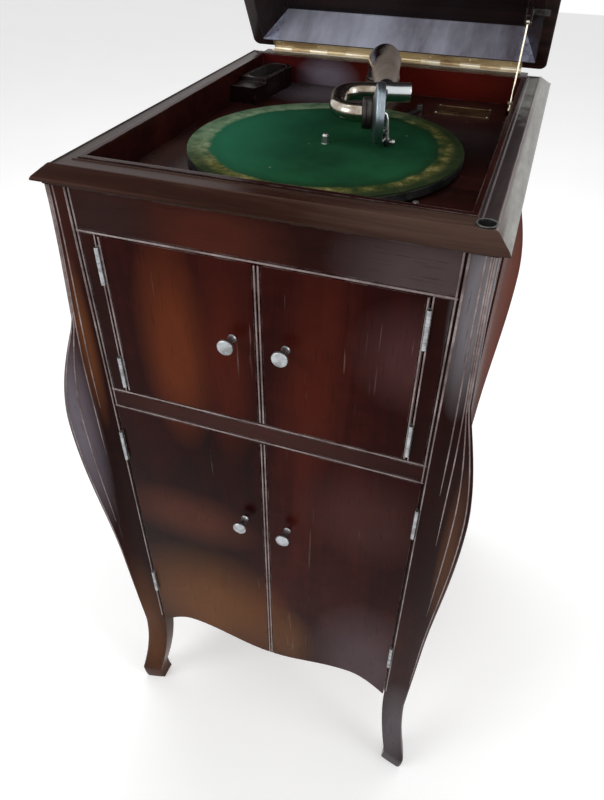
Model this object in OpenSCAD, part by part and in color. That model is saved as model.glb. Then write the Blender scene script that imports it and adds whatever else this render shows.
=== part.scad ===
// Floor-standing gramophone cabinet with an internal horn.
// X runs across the doors, -Y is the door side, +Z is up.
// The lid is drawn held open by its stay rod.

/* [Case] */
// widest edge of the top moulding, side to side
case_width = 444; // [400:1:500]
// widest edge of the top moulding, front to back
case_depth = 528; // [480:1:580]
// height of the widest edge of the top moulding above the floor
edge_height = 924; // [860:1:990]
// how far the top moulding stands out past the posts
moulding_reach = 8; // [6:0.5:12]
// depth of the top moulding below its widest edge
moulding_drop = 7.5; // [6:0.5:12]
// rise of the sloped band from the widest edge to the ledge
band_rise = 11; // [6:0.5:14]
// width of the sloped band of the top moulding
band_width = 16; // [12:1:20]
// width of the top moulding along the sides
moulding_side = 32; // [28:1:38]
// width of the top moulding along the front
moulding_front_width = 36; // [30:1:42]
// width of the top moulding along the back
moulding_back_width = 29; // [26:1:32]
// width of a post's flat strip
post_width = 26; // [24:0.5:28]
// thickness of the side, shelf and bottom boards
board = 12; // [10:0.5:14]
// thickness of the back board
back_board = 10; // [8:0.5:12]
// how far the side panels lie behind the faces of the posts
panel_inset = 5.5; // [4:0.5:7]

/* [Posts] */
// how far the corner of a post eases out below its top
corner_ease = 6.9; // [4:0.1:10]
// height over which the corner eases out
ease_length = 240; // [160:10:320]
// reach of the swelling fin past the corner
fin_reach = 21.5; // [10:0.5:26]
// height of the fullest point of the fin
fin_height = 620; // [580:5:660]
// length of the fin above its fullest point
fin_up = 142; // [110:2:170]
// length of the fin below its fullest point
fin_down = 280; // [200:5:300]
// length of the thin tail that a fin runs down with, to nothing
fin_tail = 450; // [320:10:450]
// thickness of the fin at its root, along one face
fin_root = 6; // [4:0.5:8]
// width of the fin's edge, along one face
fin_edge = 2.2; // [1.5:0.1:3]
// outward flare of a foot
foot_flare = 18; // [10:0.5:24]
// height of the toe's widest point
toe_height = 30; // [20:1:40]
// step between the rings of a post
ring_step = 20; // [10:1:30]

/* [Front] */
// height of the top rail
top_rail_h = 44.5; // [34:0.5:54]
// height of the opening for the upper doors
upper_opening_h = 197.5; // [185:0.5:215]
// height of the middle rail
mid_rail_h = 28.5; // [20:0.5:40]
// thickness of doors, rails and stiles
front_thick = 17.5; // [15:0.5:20]
// width of a fixed stile beside the upper doors
stile_w = 21; // [16:0.5:30]
// gap round the doors
door_gap = 0.8; // [0.5:0.1:1.2]
// distance of the line where the doors meet, right of the middle
door_mid = 3.5; // [-2:0.5:5]
// height of the apron where it meets the posts
apron_corner = 176; // [165:1:185]
// height of the apron's highest point
apron_peak = 210; // [195:1:220]
// height of the apron at the centre line
apron_mid = 188; // [180:1:195]
// distance of the apron's highest point from the posts
apron_inset = 59; // [45:1:70]
// width and depth of the grooves beside the beads
groove = 1.2; // [0.8:0.1:1.6]
// width of the beads on doors and rails
bead = 2.6; // [2:0.1:4]

/* [Door hardware] */
// radius of a hinge knuckle
knuckle_r = 2.5; // [2.5:0.1:3.4]
// radius of a hinge pin
hinge_pin_r = 1.3; // [1.2:0.1:1.5]
// length of an upper door's hinge
hinge_upper_len = 42; // [36:1:50]
// length of a lower door's hinge
hinge_lower_len = 48; // [46:1:66]
// centre of an upper door's lower hinge above the middle rail
hinge_upper_rise = 30; // [26:0.5:45]
// centre of an upper door's upper hinge below the top rail
hinge_upper_drop = 33; // [26:0.5:45]
// centre of a lower door's lower hinge above the apron's highest point
hinge_lower_rise = 80; // [60:1:90]
// centre of a lower door's upper hinge below the middle rail
hinge_lower_drop = 64; // [46:1:90]
// thickness of a hinge leaf
leaf = 1.2; // [1:0.1:1.3]
// radius of a knob
knob_r = 8.8; // [7:0.1:10]
// length of a knob from the door's face
knob_len = 22; // [18:1:26]
// distance of a knob from the centre line
knob_x = 29; // [24:1:34]
// distance of the upper doors' knobs below the top rail
knob_upper_drop = 89; // [70:1:120]
// distance of the lower doors' knobs below the middle rail
knob_lower_drop = 143; // [110:1:170]

/* [Lid] */
// how far the lid stands open
lid_open = 60; // [45:1:70]
// distance of the lid's sides from the widest edge of the moulding
lid_inset = 10.6; // [7:0.2:16]
// distance of the lid's front from the widest edge of the moulding
lid_inset_front = 11; // [7:0.5:16]
// height of the lid from its rim to its top
lid_height = 66; // [62:1:80]
// height of the lid's upright outer wall
lid_wall = 20; // [14:1:28]
// thickness of the lid's top
lid_top = 12; // [8:0.5:14]
// width of the lid's flat rim
lid_rim = 15.6; // [12:0.2:18]
// width of the lid's rim at the back
lid_rim_back = 9; // [8:0.5:16]
// inner slope of the lid, measured inward at the sides and front
lid_slope = 24.4; // [16:0.4:30]
// inner slope of the lid, measured inward at the back
lid_slope_back = 7.6; // [5:0.2:12]
// outer slope of the lid at the sides and front
lid_fall = 26; // [18:1:30]
// outer slope of the lid at the back
lid_fall_back = 12; // [8:1:14]
// corner radius of the lid
lid_corner = 9; // [4:0.5:14]
// radius of the long hinge's knuckle
long_knuckle_r = 2.5; // [2:0.1:2.8]
// radius of the long hinge's pin
long_pin_r = 1.0; // [0.8:0.05:1.2]
// distance of the long hinge's ends from the widest edge of the moulding
long_hinge_inset = 42; // [32:1:60]
// number of knuckles along the long hinge
long_knuckles = 13; // [7:2:19]
// width of a leaf of the long hinge
long_leaf_width = 8; // [6:0.5:8.5]

/* [Stay] */
// radius of the stay rod
stay_r = 1.2; // [1:0.1:1.5]
// distance of the stay rod from the well's lining
stay_side = 6; // [5:0.5:10]
// height of the eye above the motor board
eye_rise = 13; // [10:0.5:16]
// distance of the eye from the well's back wall
eye_back = 38; // [34:0.5:44]
// length of the stay rod past the eye with the lid open
stay_tail = 10; // [6:1:11]
// play of the stay rod in the eye
eye_play = 1.2; // [1:0.1:1.6]

/* [Well] */
// depth of the motor board's top face below the ledge
well_depth = 34; // [30:0.5:37]
// thickness of the well's lining
liner = 6; // [5:0.5:8]
// height of the lining's lip above the ledge
lip = 1; // [0.5:0.25:1.25]

/* [Turntable] */
// radius of the turntable
platter_r = 152.5; // [130:0.5:160]
// height of the turntable's felt above the motor board
platter_rise = 13; // [12:0.5:16]
// thickness of the turntable with its rim
platter_h = 8.5; // [7:0.5:10]
// thickness of the felt
felt = 1.5; // [1:0.1:2]
// distance of the spindle from the centre of the case, towards the doors
spindle_front = 43; // [30:1:50]
// radius of the spindle above the felt
spindle_r = 3.6; // [3:0.05:3.6]
// radius of the turntable's shaft below the felt
shaft_r = 4.2; // [3.8:0.1:5]
// height of the spindle above the felt
spindle_rise = 10; // [8:1:16]

/* [Tone arm] */
// distance of the tone arm's pivot from the well's back wall
arm_from_back = 29; // [25:0.5:39]
// distance of the tone arm's pivot right of the centre line
arm_right = 4; // [-4:0.5:8]
// swing of the tone arm as drawn
arm_swing = 15; // [10:0.5:22]
// radius of the tone arm at the pivot end
arm_r_back = 22; // [17:0.5:22.5]
// radius of the tone arm at the front end
arm_r_front = 9.5; // [8:0.5:9.5]
// wall of the tone arm and the gooseneck
arm_wall = 2; // [1.5:0.1:2.5]
// distance from the pivot to the cross sleeve
arm_length = 155; // [140:1:160]
// height of the arm's centre line above the felt
arm_rise = 34.5; // [34:0.5:40]
// length of the cross sleeve
sleeve_len = 40.5; // [36:0.5:50]
// radius of the cross sleeve
sleeve_r = 10.5; // [10.5:0.5:12]
// radius of the gooseneck's ends, in the cross sleeve and in the sound box's collar
neck_r = 8; // [6.6:0.2:8]
// radius of the gooseneck's tube between its ends
tube_r = 9.6; // [8.6:0.2:10]
// distance between the gooseneck's two legs
neck_span = 84; // [76:1:88]
// radius of the gooseneck's two bends
neck_bend = 25; // [20:0.5:34]
// radius of the sound box
box_r = 30.5; // [28:0.5:31]
// thickness of the sound box
box_thick = 11; // [9:0.5:12]
// radius of the collar behind the sound box
collar_r = 16; // [13:0.5:18]
// radius of the needle
needle_r = 0.7; // [0.5:0.05:0.9]

/* [Fittings] */
// length of the needle box, front to back
needle_box_len = 118; // [100:1:120]
// width of the needle box
needle_box_w = 39; // [36:1:44]
// height of the needle box
needle_box_h = 26; // [20:1:28]
// clear space behind the needle box
needle_box_gap = 6; // [4:0.5:12]
// radius of the needle cup in the ledge
needle_cup_r = 9; // [8:0.5:10]
// length of the blank brass plate
plate_len = 72; // [60:1:80]
// width of the blank brass plate
plate_w = 40; // [24:1:44]
// distance of the brass plate from the well's right wall
plate_side = 27; // [15:1:40]
// distance of the brass plate from the well's back wall
plate_back = 34; // [28:1:40]
// radius of the horn's throat, inside
throat_r = 20; // [16:0.5:22]
// distance of the horn's mouth from the inner edges of the stiles
mouth_inset = 2; // [1:0.5:10]
// wall of the horn
horn_wall = 6; // [5:0.5:8]

/* [Motor] */
// radius of the spring barrel
barrel_r = 24; // [20:0.5:26]
// pitch radius of the wheel on the spring barrel
barrel_wheel_r = 30; // [28:0.5:31]
// distance from the spindle to the spring barrel's arbor
barrel_x = 40; // [38:0.5:44]
// distance from the spindle to the governor
governor_x = 38; // [36:0.5:42]
// pitch radius of the governor's pinion
governor_pinion_r = 6; // [5:0.5:7]
// pitch radius of the winding shaft's pinion
wind_pinion_r = 7; // [6:0.5:7.5]
// pitch radius of the arbor's wheel
arbor_wheel_r = 16; // [14:0.5:18]
// radius of the winding shaft
wind_r = 4; // [3.5:0.25:5]
// radius of the winding shaft's outer end
wind_end_r = 7.5; // [7:0.25:8]
// radius of the crank socket
socket_r = 4.5; // [4:0.1:5]
// depth of the crank socket
socket_depth = 18; // [14:1:22]
// distance between the motor's bed and its lower plate
motor_height = 59; // [57:1:70]
// distance from the motor's bed to the arbor's wheel
arbor_wheel_drop = 21; // [20:1:26]
// reach of the motor's bed past the governor
governor_room = 28; // [24:1:36]
// reach of the motor's bed past the barrel's wheel, to front and back
bed_margin = 20; // [16:1:30]

/* [Hidden] */
$fn = 64;
fit = 0.05;
gap = 0.3;
eps = 0.01;
// posts and case faces
px = case_width / 2 - moulding_reach;
py = case_depth / 2 - moulding_reach;
post_top = edge_height - moulding_drop;
ledge_z = edge_height + band_rise;
in_x = px - post_width;
in_y = py - post_width;
panel_x = px - panel_inset;
side_in = panel_x - board;
back_y = in_y + board + back_board;
stile_x = in_x - stile_w;
top_rail_z = post_top - top_rail_h;
mid_rail_z = top_rail_z - upper_opening_h;
mid_low = mid_rail_z - mid_rail_h;
rail_back = py - front_thick;
// well
well_x = case_width / 2 - moulding_side;
well_front = case_depth / 2 - moulding_front_width;
well_back = case_depth / 2 - moulding_back_width;
motor_board_z = ledge_z - well_depth;
board_low = motor_board_z - board;
felt_z = motor_board_z + platter_rise;
platter_low = felt_z - felt - platter_h;
spin_y = -spindle_front;
// hinge gap of a door: one leaf lies on the post, the other in the door
hinge_gap = leaf + gap;
hinge_y = py + knuckle_r + gap;
hinge_upper_low_z = mid_rail_z + hinge_upper_rise;
hinge_upper_top_z = top_rail_z - hinge_upper_drop;
hinge_lower_low_z = apron_peak + hinge_lower_rise;
hinge_lower_top_z = mid_low - hinge_lower_drop;
// lid
rim_z = ledge_z + leaf + gap;
axis_y = case_depth / 2 + long_knuckle_r + 0.2;
axis_z = ledge_z + leaf + gap / 2;
lid_edge = long_knuckle_r + 2.2;
lid_low = rim_z - axis_z;
lid_width = case_width - 2 * lid_inset;
lid_length = case_depth / 2 - lid_inset_front + axis_y - lid_edge;
long_hinge_len = case_width - 2 * long_hinge_inset;
long_pitch = long_hinge_len / long_knuckles;
stay_x = well_x - liner - stay_side;
// the eye lies on the circle that the stay's pivot follows, so the rod
// turns at half the lid's rate and always points through the eye
eye_y = well_back - liner - eye_back;
eye_z = motor_board_z + eye_rise;
stay_reach = norm([axis_y - eye_y, axis_z - eye_z]);
pivot_drop = 6;
pivot_y = -sqrt(stay_reach * stay_reach - pivot_drop * pivot_drop);
pivot_rest = turned([pivot_y, -pivot_drop], lid_open);
stay_vec = [eye_y - axis_y - pivot_rest[0], eye_z - axis_z - pivot_rest[1]];
stay_span = norm(stay_vec);
stay_tilt = atan2(-stay_vec[0], -stay_vec[1]);
stay_len = stay_span + stay_tail;
tail_share = 0.56;
bracket_r = 3.2;
bracket_len = 19;
bracket_flange = 24;
bracket_t = 2;
bar_y = -9;
stay_pin_r = 1.4;
// tone arm
arm_back = well_back - liner - arm_from_back;
arm_z = felt_z + arm_rise;
base_r = 23;
base_flange_r = arm_from_back - gap;
base_h = 24;
stub_r = 16;
sleeve_left = -12.7;
box_f = arm_length + neck_span;
box_t = -10.6;
collar_len = 12;
neck_t = box_t - box_thick / 2 - collar_len - 1.5;
// horn
horn_floor = mid_low + board;
mouth_y = -rail_back + 0.5;
mouth_x = stile_x - mouth_inset;
throat_y = arm_back - 70;
mouth_top = top_rail_z - 6;
throat_half = throat_r + 12;
throat_z = horn_floor + 30 + throat_half;
// fittings on the motor board and the ledge
cup_x = case_width / 2 - 24;
cup_y = -case_depth / 2 + 27;
cup_depth = 12;
cleat_h = 14;
cleat_x = in_x - 18;
brake_x = 56;
brake_y = well_back - liner - 100;
brake_pin_r = 3;
brake_tail = 32;
brake_a = atan2(spin_y - brake_y, -brake_x);
brake_reach = norm([brake_x, brake_y - spin_y]) - platter_r - gap;
// the speed screw stands just outside the turntable, at the front right
speed_a = -38.6;
speed_reach = platter_r + 6.2;
speed_x = speed_reach * cos(speed_a);
speed_y = spin_y + speed_reach * sin(speed_a);
speed_pin_r = 2;
needles_x = -well_x + liner + 2 * gap + needle_box_w / 2;
needles_y = well_back - liner - needle_box_gap - needle_box_len;
needle_step = 30;
needle_turn = 6;
needle_corner = 14;
trough_r = 14;
plate_x = well_x - liner - plate_len / 2 - plate_side;
plate_y = well_back - liner - plate_w / 2 - plate_back;
// motor
bed_z = board_low - 4;
sub_z = bed_z - motor_height;
arbor_wheel_z = bed_z - arbor_wheel_drop;
bed_left = -governor_x - governor_room;
bed_right = barrel_x + barrel_wheel_r + 4;
bed_half = barrel_wheel_r + bed_margin;
bearing_x = barrel_x + arbor_wheel_r + 6;
wind_z = arbor_wheel_z + 4 + gap + wind_pinion_r;
spindle_pinion_r = barrel_x - barrel_wheel_r - gap;
governor_wheel_r = governor_x - governor_pinion_r - gap;
barrel_low = sub_z + 6;
governor_r = 2;
// reach of the whole object towards front and back, with the lid open
rings = [for (z = [0 : ring_step : post_top - ring_step / 2]) z];
front_reach = py + max([for (z = rings) tip(z)]);
lid_outer = [[-lid_edge, lid_low], [-lid_edge, lid_low + lid_wall],
    [-lid_edge - lid_fall_back, lid_low + lid_height]];
back_reach = axis_y + max([for (p = lid_outer) turned(p, lid_open)[0]]);
// the origin is the bottom centre of the whole object
frame_y = (front_reach - back_reach) / 2;

// a point beside the lid's hinge axis, [back, up], with the lid opened by a
function turned(p, a) = [p[0] * cos(a) + p[1] * sin(a), -p[0] * sin(a) + p[1] * cos(a)];

function smooth(t) = t <= 0 ? 0 : t >= 1 ? 1 : t * t * (3 - 2 * t);

// outward ease of a post's corner, without the foot's flare
function corner(z) = corner_ease * smooth((post_top - z) / ease_length);

// reach of the fin past the corner
function fin(z) = z >= fin_height
    ? (z < fin_height + fin_up ? fin_reach * cos(90 * (z - fin_height) / fin_up) : 0)
    : fin_reach * ((1 - tail_share) * pow(cos(90 * min(fin_height - z, fin_down) / fin_down), 2)
        + tail_share * cos(90 * min(fin_height - z, fin_tail) / fin_tail));

// outward flare of a foot
function flare(z) = z >= apron_corner ? 0
    : z >= toe_height ? foot_flare * pow((apron_corner - z) / (apron_corner - toe_height), 2)
    : foot_flare - 2.5 * pow((toe_height - z) / toe_height, 2);

// reach of a post's outermost point past the flat faces
function tip(z) = corner(z) + flare(z) + fin(z);

// one ring of a post, from the inner corner round to the front face
function ring(z) = let (i = flare(z), c = corner(z) + i, s = tip(z), w = post_width)
    [[px + i - w, py + i - w, z], [px + i, py + i - w, z], [px + c, py + c - fin_root, z],
     [px + s, py + s - fin_edge, z], [px + s - fin_edge, py + s, z],
     [px + c - fin_root, py + c, z], [px + i - w, py + i, z]];

// lower edge of the apron at a distance x from the centre, on a width of 2 * half
function apron(x, half) = let (peak = half - apron_inset, a = abs(x))
    a <= peak
    ? apron_mid + (apron_peak - apron_mid) * (1 - cos(180 * a / peak)) / 2
    : apron_corner + (apron_peak - apron_corner) * cos(90 * (a - peak) / apron_inset);

module in_frame() {
    translate([0, frame_y, 0]) children();
}

// takes a piece drawn at the right and back to the side given by the signs
module mirrored(sx, sy) {
    mirror([sx < 0 ? 1 : 0, 0, 0]) mirror([0, sy < 0 ? 1 : 0, 0]) children();
}

// a box given by its low and high corners
module block(a, b) {
    translate(a) cube(b - a);
}

module rod_x(r, x0, x1) {
    translate([x0, 0, 0]) rotate([0, 90, 0]) cylinder(r = r, h = x1 - x0);
}

module rod_z(r, z0, z1) {
    translate([0, 0, z0]) cylinder(r = r, h = z1 - z0);
}

// a post, built in the back right corner and mirrored to the others
module post(sx, sy) {
    zs = concat(rings, [post_top]);
    n = 7;
    m = len(zs);
    pts = [for (z = zs) each ring(z)];
    sides = [for (k = [0 : m - 2], j = [0 : n - 1]) each
        [[k * n + j, (k + 1) * n + j, (k + 1) * n + (j + 1) % n],
         [k * n + j, (k + 1) * n + (j + 1) % n, k * n + (j + 1) % n]]];
    caps = [for (j = [1 : n - 2]) each
        [[0, j, j + 1], [(m - 1) * n, (m - 1) * n + j + 1, (m - 1) * n + j]]];
    mirrored(sx, sy) polyhedron(points = pts, faces = concat(sides, caps), convexity = 6);
}

// a board that fills the case between the posts, panels and rails
module cross_board(z) {
    union() {
        block([-side_in, -in_y, z], [side_in, in_y, z + board]);
        block([-in_x, -rail_back, z], [in_x, back_y - back_board, z + board]);
    }
}

// a side panel with its shaped lower edge, drawn at the right
module side_panel() {
    steps = 48;
    outline = concat(
        [for (k = [0 : steps]) let (y = -in_y + 2 * in_y * k / steps) [y, apron(y, in_y)]],
        [[in_y, post_top], [-in_y, post_top]]);
    translate([side_in, 0, 0]) rotate([90, 0, 90]) linear_extrude(board) polygon(outline);
}

// section of the top moulding: distance in from the widest edge, height
function moulding_section(width) = concat(
    [[moulding_reach, post_top]],
    [for (k = [0 : 6]) let (a = 15 * k)
        [moulding_reach * cos(a), post_top + 1 + (moulding_drop - 3.5) * sin(a)]],
    [[0, edge_height - 1], [1.5, edge_height + 1.2], [band_width - 1.5, ledge_z - 0.4],
     [band_width, ledge_z], [band_width + 0.8, ledge_z - 1], [width - 4, ledge_z - 1],
     [width - 3.2, ledge_z], [width, ledge_z], [width, post_top]]);

// a straight run of moulding along X at the front, mitred at both ends
module moulding_run(length, depth, width, side) {
    intersection() {
        translate([-length / 2, -depth / 2, 0]) rotate([90, 0, 90])
            linear_extrude(length) polygon(moulding_section(width));
        linear_extrude(height = 2 * edge_height) polygon([
            [-length / 2, -depth / 2], [length / 2, -depth / 2],
            [length / 2 - side, -depth / 2 + width], [-length / 2 + side, -depth / 2 + width]]);
    }
}

module moulding_side_run(s) {
    mirrored(s, 1) intersection() {
        translate([case_width / 2, -case_depth / 2, 0]) rotate([90, 0, 180])
            linear_extrude(case_depth) polygon(moulding_section(moulding_side));
        linear_extrude(height = 2 * edge_height) polygon([
            [case_width / 2, -case_depth / 2], [case_width / 2, case_depth / 2],
            [well_x, well_back], [well_x, -well_front]]);
    }
}

// grooves that leave a bead along an upright door edge at x
module edge_grooves(x, dir, z0, z1) {
    block([min(x + dir * bead, x + dir * (bead + groove)), -py - 1, z0 - 1],
        [max(x + dir * bead, x + dir * (bead + groove)), -py + groove, z1 + 1]);
}

// a door's edge beside the other door, s being its side
function door_inner(s) = door_gap / 2 + s * door_mid;

module upper_door(s) {
    z0 = mid_rail_z + door_gap;
    z1 = top_rail_z - door_gap;
    x1 = stile_x - hinge_gap;
    mirrored(s, 1) difference() {
        block([door_inner(s), -py, z0], [x1, -rail_back, z1]);
        edge_grooves(door_inner(s), 1, z0, z1);
        edge_grooves(x1, -1, z0, z1);
        leaf_pocket(stile_x, hinge_upper_low_z, hinge_upper_len);
        leaf_pocket(stile_x, hinge_upper_top_z, hinge_upper_len);
    }
}

module lower_door(s) {
    steps = 40;
    x0 = door_inner(s);
    x1 = in_x - hinge_gap;
    z1 = mid_low - door_gap;
    outline = concat(
        [for (k = [0 : steps]) let (x = x0 + (x1 - x0) * k / steps) [x, apron(x, in_x)]],
        [[x1, z1], [x0, z1]]);
    mirrored(s, 1) difference() {
        translate([0, -rail_back, 0]) rotate([90, 0, 0]) linear_extrude(front_thick) polygon(outline);
        edge_grooves(x0, 1, apron_corner, z1);
        leaf_pocket(in_x, hinge_lower_low_z, hinge_lower_len);
        leaf_pocket(in_x, hinge_lower_top_z, hinge_lower_len);
    }
}

// pocket in a door's edge for its hinge leaf; x is the edge of the post or stile
module leaf_pocket(x, z, len) {
    block([x - hinge_gap - leaf, -py - 1, z - len / 2], [x - hinge_gap + 1, -rail_back - 2, z + len / 2]);
}

// knuckles number a, a + 2, ... of a five-knuckle hinge at height z
module knuckles(z, len, first) {
    pitch = len / 5;
    for (k = [first : 2 : 4])
        rod_z(knuckle_r, z - len / 2 + k * pitch + gap / 2, z - len / 2 + (k + 1) * pitch - gap / 2);
}

// the leaf on the post or stile, with its knuckles and the pin
module case_leaf(x, z, len) {
    pitch = len / 5;
    xk = x - hinge_gap / 2;
    union() {
        block([x - leaf, -py, z - len / 2], [x, -rail_back - 2, z + len / 2]);
        for (k = [0 : 2 : 4])
            block([x - leaf, -hinge_y, z - len / 2 + k * pitch + gap / 2],
                [x, -py + eps, z - len / 2 + (k + 1) * pitch - gap / 2]);
        translate([xk, -hinge_y, 0]) knuckles(z, len, 0);
        translate([xk, -hinge_y, z - len / 2 + 1]) cylinder(r = hinge_pin_r, h = len - 2);
    }
}

// the leaf in the door's edge, with its bored knuckles
module door_leaf(x, z, len) {
    pitch = len / 5;
    xk = x - hinge_gap / 2;
    difference() {
        union() {
            block([x - hinge_gap - leaf, -py, z - len / 2], [x - hinge_gap, -rail_back - 2, z + len / 2]);
            for (k = [1 : 2 : 3])
                block([x - hinge_gap - leaf, -hinge_y, z - len / 2 + k * pitch + gap / 2],
                    [x - hinge_gap, -py + eps, z - len / 2 + (k + 1) * pitch - gap / 2]);
            translate([xk, -hinge_y, 0]) knuckles(z, len, 1);
        }
        translate([xk, -hinge_y, z - len / 2]) cylinder(r = hinge_pin_r + fit, h = len);
    }
}

module knob(s, z) {
    mirrored(s, 1) translate([knob_x + s * door_mid, -py, z]) rotate([90, 0, 0]) rotate_extrude() polygon([
        [0, 0], [6.2, 0], [6.2, 1.2], [4.4, 2.4], [3.6, 5], [3.9, 9], [6, 12],
        [knob_r - 0.7, 14], [knob_r, 15.6], [knob_r, 17.4], [knob_r - 1, 19],
        [knob_r * 0.62, knob_len - 1.2], [knob_r * 0.3, knob_len - 0.3], [0, knob_len]]);
}

// a solid with a rectangular foot and a smaller rectangular top
module frustum(a0, a1, b0, b1, z0, z1) {
    polyhedron(points = [
        [a0[0], a0[1], z0], [a1[0], a0[1], z0], [a1[0], a1[1], z0], [a0[0], a1[1], z0],
        [b0[0], b0[1], z1], [b1[0], b0[1], z1], [b1[0], b1[1], z1], [b0[0], b1[1], z1]],
        faces = [[0, 1, 2, 3], [7, 6, 5, 4], [4, 5, 1, 0], [5, 6, 2, 1], [6, 7, 3, 2], [7, 4, 0, 3]]);
}

// upright prism with round corners
module round_block(a, b, r) {
    union() {
        block([a[0] + r, a[1], a[2]], [b[0] - r, b[1], b[2]]);
        block([a[0], a[1] + r, a[2]], [b[0], b[1] - r, b[2]]);
        for (x = [a[0] + r, b[0] - r], y = [a[1] + r, b[1] - r])
            translate([x, y, 0]) rod_z(r, a[2], b[2]);
    }
}

// places what is drawn beside the lid's hinge axis, lid closed, at the open lid
module on_lid() {
    translate([0, axis_y, axis_z]) rotate([-lid_open, 0, 0]) children();
}

module stay_pivot_place() {
    translate([stay_x, axis_y + pivot_rest[0], axis_z + pivot_rest[1]]) children();
}

// the tone arm's own frame: +Y towards the front end, +X to the right of the doors' view
module on_arm() {
    translate([arm_right, arm_back, 0]) rotate([0, 0, arm_swing]) mirror([0, 1, 0]) children();
}

module post_front_left() color("#4a1a12") in_frame() post(-1, -1);
module post_front_right() color("#4a1a12") in_frame() post(1, -1);
module post_back_left() color("#4a1a12") in_frame() post(-1, 1);
module post_back_right() color("#4a1a12") in_frame() post(1, 1);

module side_panel_left() color("#5a2016") in_frame() mirrored(-1, 1) side_panel();

module side_panel_right() color("#5a2016") in_frame() difference() {
    side_panel();
    translate([0, spin_y, wind_z]) rod_x(wind_end_r + 1.5, side_in - 1, panel_x + 1);
}

module back_panel() color("#6b4a30") in_frame()
    block([-in_x, back_y - back_board, apron_peak], [in_x, back_y, post_top]);

module top_rail() color("#5a2016") in_frame() difference() {
    block([-in_x, -py, top_rail_z], [in_x, -rail_back, post_top]);
    block([-in_x - 1, -py - 1, top_rail_z + bead], [in_x + 1, -py + groove, top_rail_z + bead + groove]);
}

module middle_rail() color("#5a2016") in_frame() difference() {
    block([-in_x, -py, mid_low], [in_x, -rail_back, mid_rail_z]);
    for (z = [mid_low + bead, mid_rail_z - bead - groove])
        block([-in_x - 1, -py - 1, z], [in_x + 1, -py + groove, z + groove]);
}

module door_stiles() color("#5a2016") in_frame() for (s = [-1, 1]) mirrored(s, 1) difference() {
    block([stile_x, -py, mid_rail_z], [in_x, -rail_back, top_rail_z]);
    edge_grooves(in_x, -1, mid_rail_z, top_rail_z);
}

module cup_hole() {
    translate([cup_x, cup_y, 0]) rod_z(needle_cup_r + fit, ledge_z - cup_depth, ledge_z + 2);
}

module moulding_front() color("#3c150f") in_frame() difference() {
    moulding_run(case_width, case_depth, moulding_front_width, moulding_side);
    cup_hole();
}

// run along the back, flat under the hinge and sloped at its two ends
module moulding_back() color("#3c150f") in_frame() mirrored(1, -1) difference() {
    intersection() {
        block([-case_width / 2, -case_depth / 2, post_top], [case_width / 2, 0, ledge_z]);
        linear_extrude(height = 2 * edge_height) polygon([
            [-case_width / 2, -case_depth / 2], [case_width / 2, -case_depth / 2],
            [case_width / 2 - moulding_side, -well_back], [-case_width / 2 + moulding_side, -well_back]]);
    }
    for (s = [-1, 1]) mirrored(s, 1) translate([well_x, -case_depth / 2, 0]) rotate([90, 0, 90])
        linear_extrude(moulding_side + 1) polygon([[-1, edge_height], [1.5, edge_height + 1.2],
            [band_width - 1.5, ledge_z - 0.4], [band_width, ledge_z], [band_width, ledge_z + 1], [-1, ledge_z + 1]]);
}

module moulding_left() color("#3c150f") in_frame() moulding_side_run(-1);
module moulding_right() color("#3c150f") in_frame() difference() {
    moulding_side_run(1);
    cup_hole();
}

module well_liner() color("#5f1d12") in_frame() difference() {
    block([-well_x, -well_front, motor_board_z], [well_x, well_back, ledge_z + lip]);
    block([-well_x + liner, -well_front + liner, motor_board_z - 1],
        [well_x - liner, well_back - liner, ledge_z + lip + 1]);
    // rebates round the back posts
    for (s = [-1, 1]) mirrored(s, 1)
        block([in_x - gap, in_y - gap, motor_board_z - 1], [well_x + 1, well_back + 1, post_top]);
}

// slot for the stay rod, through the motor board and the strip under it
module stay_slot() {
    block([stay_x - stay_r - 2, eye_y - 12, board_low - cleat_h - 1],
        [stay_x + stay_r + 2, eye_y + 10, motor_board_z + 1]);
}

module motor_board() color("#4a1710") in_frame() difference() {
    block([-in_x + gap, -well_front, board_low], [in_x - gap, well_back, motor_board_z]);
    translate([0, spin_y, 0]) rod_z(shaft_r + 2.4, board_low - 1, motor_board_z + 1);
    translate([arm_right, arm_back, 0]) rod_z(throat_r + 4 + gap, board_low - 1, motor_board_z + 1);
    stay_slot();
    translate([speed_x, speed_y, 0]) rod_z(speed_pin_r + fit, board_low - 1, motor_board_z + 1);
    translate([brake_x, brake_y, 0]) rod_z(brake_pin_r + fit, motor_board_z - 6, motor_board_z + 1);
}

// strips under the motor board
module board_cleats() color("#6b4a30") in_frame() difference() {
    for (s = [-1, 1]) mirrored(s, 1)
        block([cleat_x, -in_y + 2, board_low - cleat_h], [side_in, in_y - 2, board_low]);
    translate([0, spin_y, wind_z]) rod_x(wind_end_r + 3, cleat_x - 1, side_in + 1);
    stay_slot();
}

module horn_shelf() color("#6b4a30") in_frame() cross_board(mid_low);
module bottom_board() color("#6b4a30") in_frame() cross_board(apron_peak + 4);

module horn() color("#7a4a2c") in_frame() difference() {
    horn_shell(0);
    horn_shell(horn_wall);
}

// the horn's outer form, or its bore when w is the wall
module horn_shell(w) {
    t = w > 0 ? 1 : 0;
    hw = mouth_x - w;
    th = throat_half - w;
    y0 = mouth_y - t;
    y1 = throat_y + t;
    polyhedron(points = [
        [-hw, y0, horn_floor + w], [hw, y0, horn_floor + w],
        [arm_right + th, y1, throat_z - th], [arm_right - th, y1, throat_z - th],
        [-hw, y0, mouth_top - w], [hw, y0, mouth_top - w],
        [arm_right + th, y1, throat_z + th], [arm_right - th, y1, throat_z + th]],
        faces = [[0, 1, 2, 3], [7, 6, 5, 4], [4, 5, 1, 0], [5, 6, 2, 1], [6, 7, 3, 2], [7, 4, 0, 3]]);
}

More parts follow.
